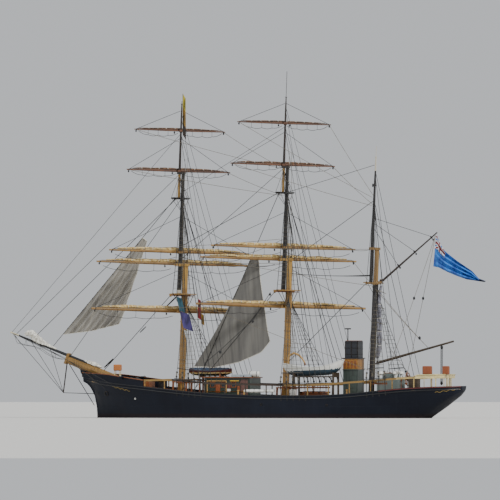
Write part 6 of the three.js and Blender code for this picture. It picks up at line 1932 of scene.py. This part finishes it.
@dataclass
class DeckGear:
    """Everything else on deck: fenders, vents, davit, float boxes, pin rails, capstan and binnacle."""

    fender: Rows = (
        (0.02, -0.26), (0.13, -0.24), (0.16, -0.12), (0.16, 0.12), (0.13, 0.24), (0.02, 0.26))
    vent: Rows = (
        (0.16, 0), (0.16, 0.08), (0.09, 0.1), (0.09, 0.55), (0.13, 0.58), (0.13, 0.66), (0.02, 0.68))
    pin: Rows = ((0.012, -0.2), (0.02, 0.06), (0.035, 0.09), (0.025, 0.22), (0.01, 0.24))
    binnacle: Rows = (
        (0.2, 0), (0.2, 0.06), (0.13, 0.12), (0.13, 0.95), (0.2, 1), (0.2, 1.16), (0.14, 1.28), (0.02, 1.32))
    capstan: Rows = (
        (0.4, 0), (0.4, 0.12), (0.24, 0.2), (0.2, 0.7), (0.34, 0.84), (0.34, 0.98), (0.1, 1.02))
    # The davit's bent tube: its points, each with its radius.
    davit: Rows = (
        (2.9, -1.0, 2.0, 0.12), (2.9, -1.0, 5.5, 0.12), (3.02, -1.0, 5.98, 0.12), (3.5, -1.0, 6.24, 0.11),
        (4.0, -1.0, 6.08, 0.1), (4.36, -1.02, 5.74, 0.09), (4.66, -1.05, 5.3, 0.08))

    def paint(self) -> None:
        """Gives the CAD's deck and fittings their finishes."""
        dress(DECK, "deck", bevel=0)
        for finish, *nodes in ((RAIL, "port_rail", "starboard_rail"), (IRON, "windlass", "starboard_anchor"),
                               (DARK_BOOM, "wheel_box"), (TEAK, "steering_wheel"), (HULL, "rudder"),
                               (BRONZE, "propeller")):
            dress(finish, *nodes)

    def pin_rails(self, draft: MeshDraft) -> None:
        """Adds the pin rails inside the open rail, with their belaying pins."""
        for (_, side), (x0, x1) in product(SIDES, ((-7.6, -5.0), (3.1, 5.6), (11.9, 13.7))):
            path = [(x, side * (Lines.breadth(x) - 0.28), Lines.rail(x0) - 0.28) for x in evenly(x0, x1, 9)]
            draft.tube(path, 0.07, 8, 3)
            for x, y, z in path[:-1]:
                draft.turned(Matrix.Translation((x + 0.12, y, z)), self.pin, 6, 3)

    def boxes(self, draft: MeshDraft) -> None:
        """Adds the orange float boxes at the stern and the amber box at the bow, on their legs."""
        for x0, x1, y in ((16.9, 17.8, -1.7), (18.75, 19.4, -1.2)):
            draft.block((x0, y - 0.2, 4.2), (x1, y + 0.2, 5.0), 1, chamfer=0.06)
            for x in (x0 + 0.12, x1 - 0.12):
                draft.tube([(x, y, Lines.deck(x)), (x, y, 4.35)], 0.035, 6, 5)
        draft.block((-14.9, -1.35, 4.55), (-14.2, -0.8, 5.15), 6, chamfer=0.06)
        for x, y in product((-14.8, -14.3), (-1.25, -0.9)):
            draft.tube([(x, y, 3.1), (x, y, 4.6)], 0.035, 6, 5)

    def build(self) -> None:
        """Dresses the CAD's fittings and adds the small gear."""
        self.paint()
        draft = MeshDraft("deck_gear", WHITE, ORANGE, TAN, TEAK, IRON, CREAM, AMBER)
        for x in evenly(-0.4, 2.2, 5):
            draft.turned(about("Y", 90, (x, 0.25 - Lines.breadth(x), 2.62)), self.fender, 12)
        draft.block((3.9, -3.3, 2.0), (4.4, -2.85, 2.75))
        for x in (-1.5, -0.9, 9.6):
            draft.turned(Matrix.Translation((x, -2.9, Lines.deck(x))), self.vent, 12, 2)
        draft.tube([point[:3] for point in self.davit], [point[3] for point in self.davit], 10, 2)
        draft.pulley((4.68, -1.05, 5.18), 0.09, 3)
        self.boxes(draft)
        self.pin_rails(draft)
        draft.turned(Matrix.Translation((14.0, 0, 2.55)), self.binnacle, 16, 3)
        draft.turned(Matrix.Translation((-10.5, 0, Lines.deck(-10.5))), self.capstan, 18, 4)
        draft.block((-12.2, -0.8, 2.85), (-11.4, 0.8, 3.5), 3)
        draft.make()


@dataclass
class Running:
    """The running rigging: the yards' braces, the gaff's vangs and halyards, the boom's sheet and lifts."""

    quarter_x: float = 14.2
    gaff_hoops: Row = (2.3, 4.4, 6.6)

    def braces(self) -> None:
        """Adds each yard's braces, from the yard's arm to their lead."""
        # The middle between both braces' leads, from the course yard up.
        leads = (
            (FORE, (MAIN.at(0.2, 0, 11.0), MAIN.at(-0.6, 0, 14.9), MAIN.at(-0.9, 0, 17.2),
                    MAIN.at(-1.0, 0, 21.4), MAIN.at(-1.1, 0, 24.0))),
            (MAIN, (Vector((self.quarter_x, 0, Lines.rail(self.quarter_x))), MIZZEN.at(-0.3, 0, 12.7),
                    MIZZEN.at(-0.7, 0, 16.2), MIZZEN.at(-0.6, 0, 20.4), MIZZEN.at(-0.6, 0, 21.2))))
        for mast, middles in leads:
            for (yard, middle), (name, side) in product(zip(mast.yards(), middles), SIDES):
                spread = Lines.breadth(self.quarter_x) - 0.1 if yard.name == "main_course_yard" else 0.35
                lead = middle + Vector((0, side * spread, 0))
                arm = yard.at(side * 0.965, 0, -0.02)
                draft = MeshDraft(f"{yard.name}_{name}_brace", HEMP)
                draft.tube(sagging(arm, lead, 0.12, 14), 0.016, 5)
                draft.blend(yard.name, arm, lead)

    def gaff_gear(self) -> None:
        """Adds the gaff's hoops and blocks, and its halyards."""
        draft = MeshDraft("gaff_gear", HEMP, BLACK, IRON)
        for along in self.gaff_hoops:
            place = about("Y", 90 - MIZZEN.gaff_rise + MIZZEN.rake, MIZZEN.on_gaff(along))
            draft.hoop(place, 0.08, 0.15, 0.05, 12, 2)
            draft.pulley(MIZZEN.on_gaff(along, -0.28), 0.09, 1)
        draft.make("gaff")
        mast_top = MIZZEN.at(MIZZEN.topmast_x + 0.1, 0, 18.2)
        for i, along in enumerate(self.gaff_hoops):
            halyard = MeshDraft(f"peak_halyard_{i + 1}", WIRE)
            end, top = MIZZEN.on_gaff(along, 0.12), mast_top + Vector((0, 0, 0.5 * i))
            halyard.tube([end, top], 0.018, 5)
            halyard.blend("gaff", end, top)

    def boom_gear(self) -> None:
        """Adds the gaff's vangs, and the boom's topping lifts and its sheet."""
        for name, side in SIDES:
            end = MIZZEN.on_gaff(7.05, -0.1)
            foot = Vector((13.5, side * (Lines.breadth(13.5) - 0.06), Lines.rail(13.5)))
            vang = MeshDraft(f"gaff_{name}_vang", HEMP, BLACK)
            vang.tube(sagging(end, foot, 0.25, 16), 0.016, 5)
            vang.pulley(end.lerp(foot, 0.42) - Vector((0, 0, 0.25)), 0.13, 1)
            vang.blend("gaff", end, foot)
            end, top = MIZZEN.on_boom(5.3, 0.1), MIZZEN.at(0.1, side * 0.25, 12.4)
            lift = MeshDraft(f"boom_{name}_topping_lift", HEMP, BLACK)
            lift.tube(sagging(end, top, 0.15, 14), 0.017, 5)
            lift.pulley(end.lerp(top, 0.16), 0.13, 1)
            lift.blend("boom", end, top)
        top, foot = MIZZEN.on_boom(6.7, -0.15), Vector((18.2, 0, 3.2))
        sheet = MeshDraft("boom_sheet", WIRE, BLACK)
        for off in (-0.09, 0.0, 0.09):
            sheet.tube([top + Vector((off, 0, 0)), foot + Vector((off, 0, 0.2))], 0.022, 5)
        for at in (top - Vector((0, 0, 0.1)), foot + Vector((0, 0, 0.15))):
            sheet.pulley(at, 0.15, 1)
        sheet.blend("boom", top, foot)

    def halyards(self) -> None:
        """Adds the halyards, brails and buntline leads that run down the masts."""
        draft = MeshDraft("halyards_and_leads", HEMP, BLACK)
        for mast, (_, side) in product((FORE, MAIN), SIDES):
            heights = (mast.crosstrees - 0.5, mast.topgallant_z() + 1.2, mast.cap - 0.3, mast.top - 0.6)
            for i, z in enumerate(heights):
                head_x = (mast.topmast_x if z > mast.top else 0) + 0.25
                foot = mast.at(0.2 + 0.25 * i, side * 0.78, Lines.deck(mast.foot_x) + 1.2)
                draft.tube(sagging(mast.at(head_x, side * 0.3, z), foot, 0.03, 4), 0.013, 4)
        for (i, z), (_, side) in product(enumerate((7.5, 9.0, 10.5, 12.0)), SIDES):
            lead = MIZZEN.at(0.25, side * 0.28, z + 0.3)
            draft.tube([MIZZEN.at(1.1, side * 0.05, z), lead], 0.016, 4)
            draft.tube([lead, MIZZEN.at(0.3 + 0.1 * i, side * 0.5, 3.6)], 0.012, 4)
        tackle = ((-5.95, -1, 3.95), (-5.59, -1, 5.3), (-4.0, -1, 6.55), (-0.62, -1, 9.5), (1.1, -0.95, 12.1))
        draft.tube(tackle, 0.028, 5, 1)
        for at in ((-4.05, -1.0, 6.35), (-0.7, -1.0, 9.3), (1.05, -0.95, 11.9)):
            draft.pulley(at, 0.12, 1)
        draft.make()

    def build(self) -> None:
        """Builds the running rigging."""
        self.braces()
        self.gaff_gear()
        self.boom_gear()
        self.halyards()


@dataclass
class Studio:
    """The floor in the waterline, the light and the camera at the photograph's angle."""

    aim_x: float = -0.67
    distance: float = 700.0
    turn: float = 20.0
    height: float = 2.55
    tilt: float = 0.4534
    lens: float = 1046.4
    floor_radius: float = 600.0
    sky: str = "e3e6ea"
    sky_strength: float = 0.75
    # Each sun's name, direction and height in degrees, strength, and the angle that softens its shadows.
    suns: tuple[tuple[str, float, float, float, float], ...] = (
        ("key", 62, 40, 2.9, 9), ("fill", -35, 30, 0.8, 60))

    @staticmethod
    def place(name: str, data: bpy.types.ID, towards: Vector, axis: str,
              at: Row = (0, 0, 0)) -> bpy.types.Object:
        """Puts a lamp or the camera in the scene, with one of its axes pointing in a direction."""
        holder = bpy.data.objects.new(name, data)
        holder.location = at
        holder.rotation_mode = "QUATERNION"
        holder.rotation_quaternion = towards.to_track_quat(axis, "Y")
        bpy.context.scene.collection.objects.link(holder)
        return holder

    def floor(self) -> None:
        """Lays a wide pale floor in the waterline."""
        draft = MeshDraft("floor", FLOOR)
        draft.slab(sides_of(48, self.floor_radius), -0.04, 0.0)
        draft.make(None)

    def light(self) -> None:
        """Lights the ship softly: a broad sun from astern to port under a pale sky."""
        world = bpy.data.worlds.new("pale_sky")
        world.use_nodes = True
        feed(world.node_tree.nodes["Background"], {"Color": self.sky, "Strength": self.sky_strength})
        bpy.context.scene.world = world
        for name, azimuth, elevation, energy, spread in self.suns:
            lamp = bpy.data.lights.new(name, "SUN")
            lamp.energy = energy
            lamp.angle = math.radians(spread)
            a, e = math.radians(azimuth), math.radians(elevation)
            towards = Vector((math.sin(a) * math.cos(e), -math.cos(a) * math.cos(e), math.sin(e)))
            self.place(name, lamp, towards, "Z")

    def camera(self) -> None:
        """Sets the camera far off the port side, level with the rail."""
        view = bpy.data.cameras.new("camera")
        view.lens = self.lens
        view.sensor_width = 36
        view.clip_start, view.clip_end = 1, 2000
        a = math.radians(self.turn)
        at = Vector((self.aim_x + self.distance * math.sin(a), -self.distance * math.cos(a), self.height))
        level = Vector((self.aim_x - at.x, -at.y, 0)).normalized()
        towards = level + Vector((0, 0, math.tan(math.radians(self.tilt))))
        bpy.context.scene.camera = self.place("camera", view, towards, "-Z", at)

    def build(self) -> None:
        """Sets up the studio."""
        self.camera()
        self.floor()
        self.light()


def main() -> None:
    """Builds the ship part by part."""
    logging.basicConfig(level=logging.INFO, format="%(name)s: %(message)s")
    for part in (Studio(), Hull(), OpenRail(), Spars(), Rig(), Houses(), Boats(), DeckGear(), Sails(),
                 Colours(), Running()):
        log.info("building %s", type(part).__name__)
        part.build()
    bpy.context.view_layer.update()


if __name__ == "__main__":
    main()
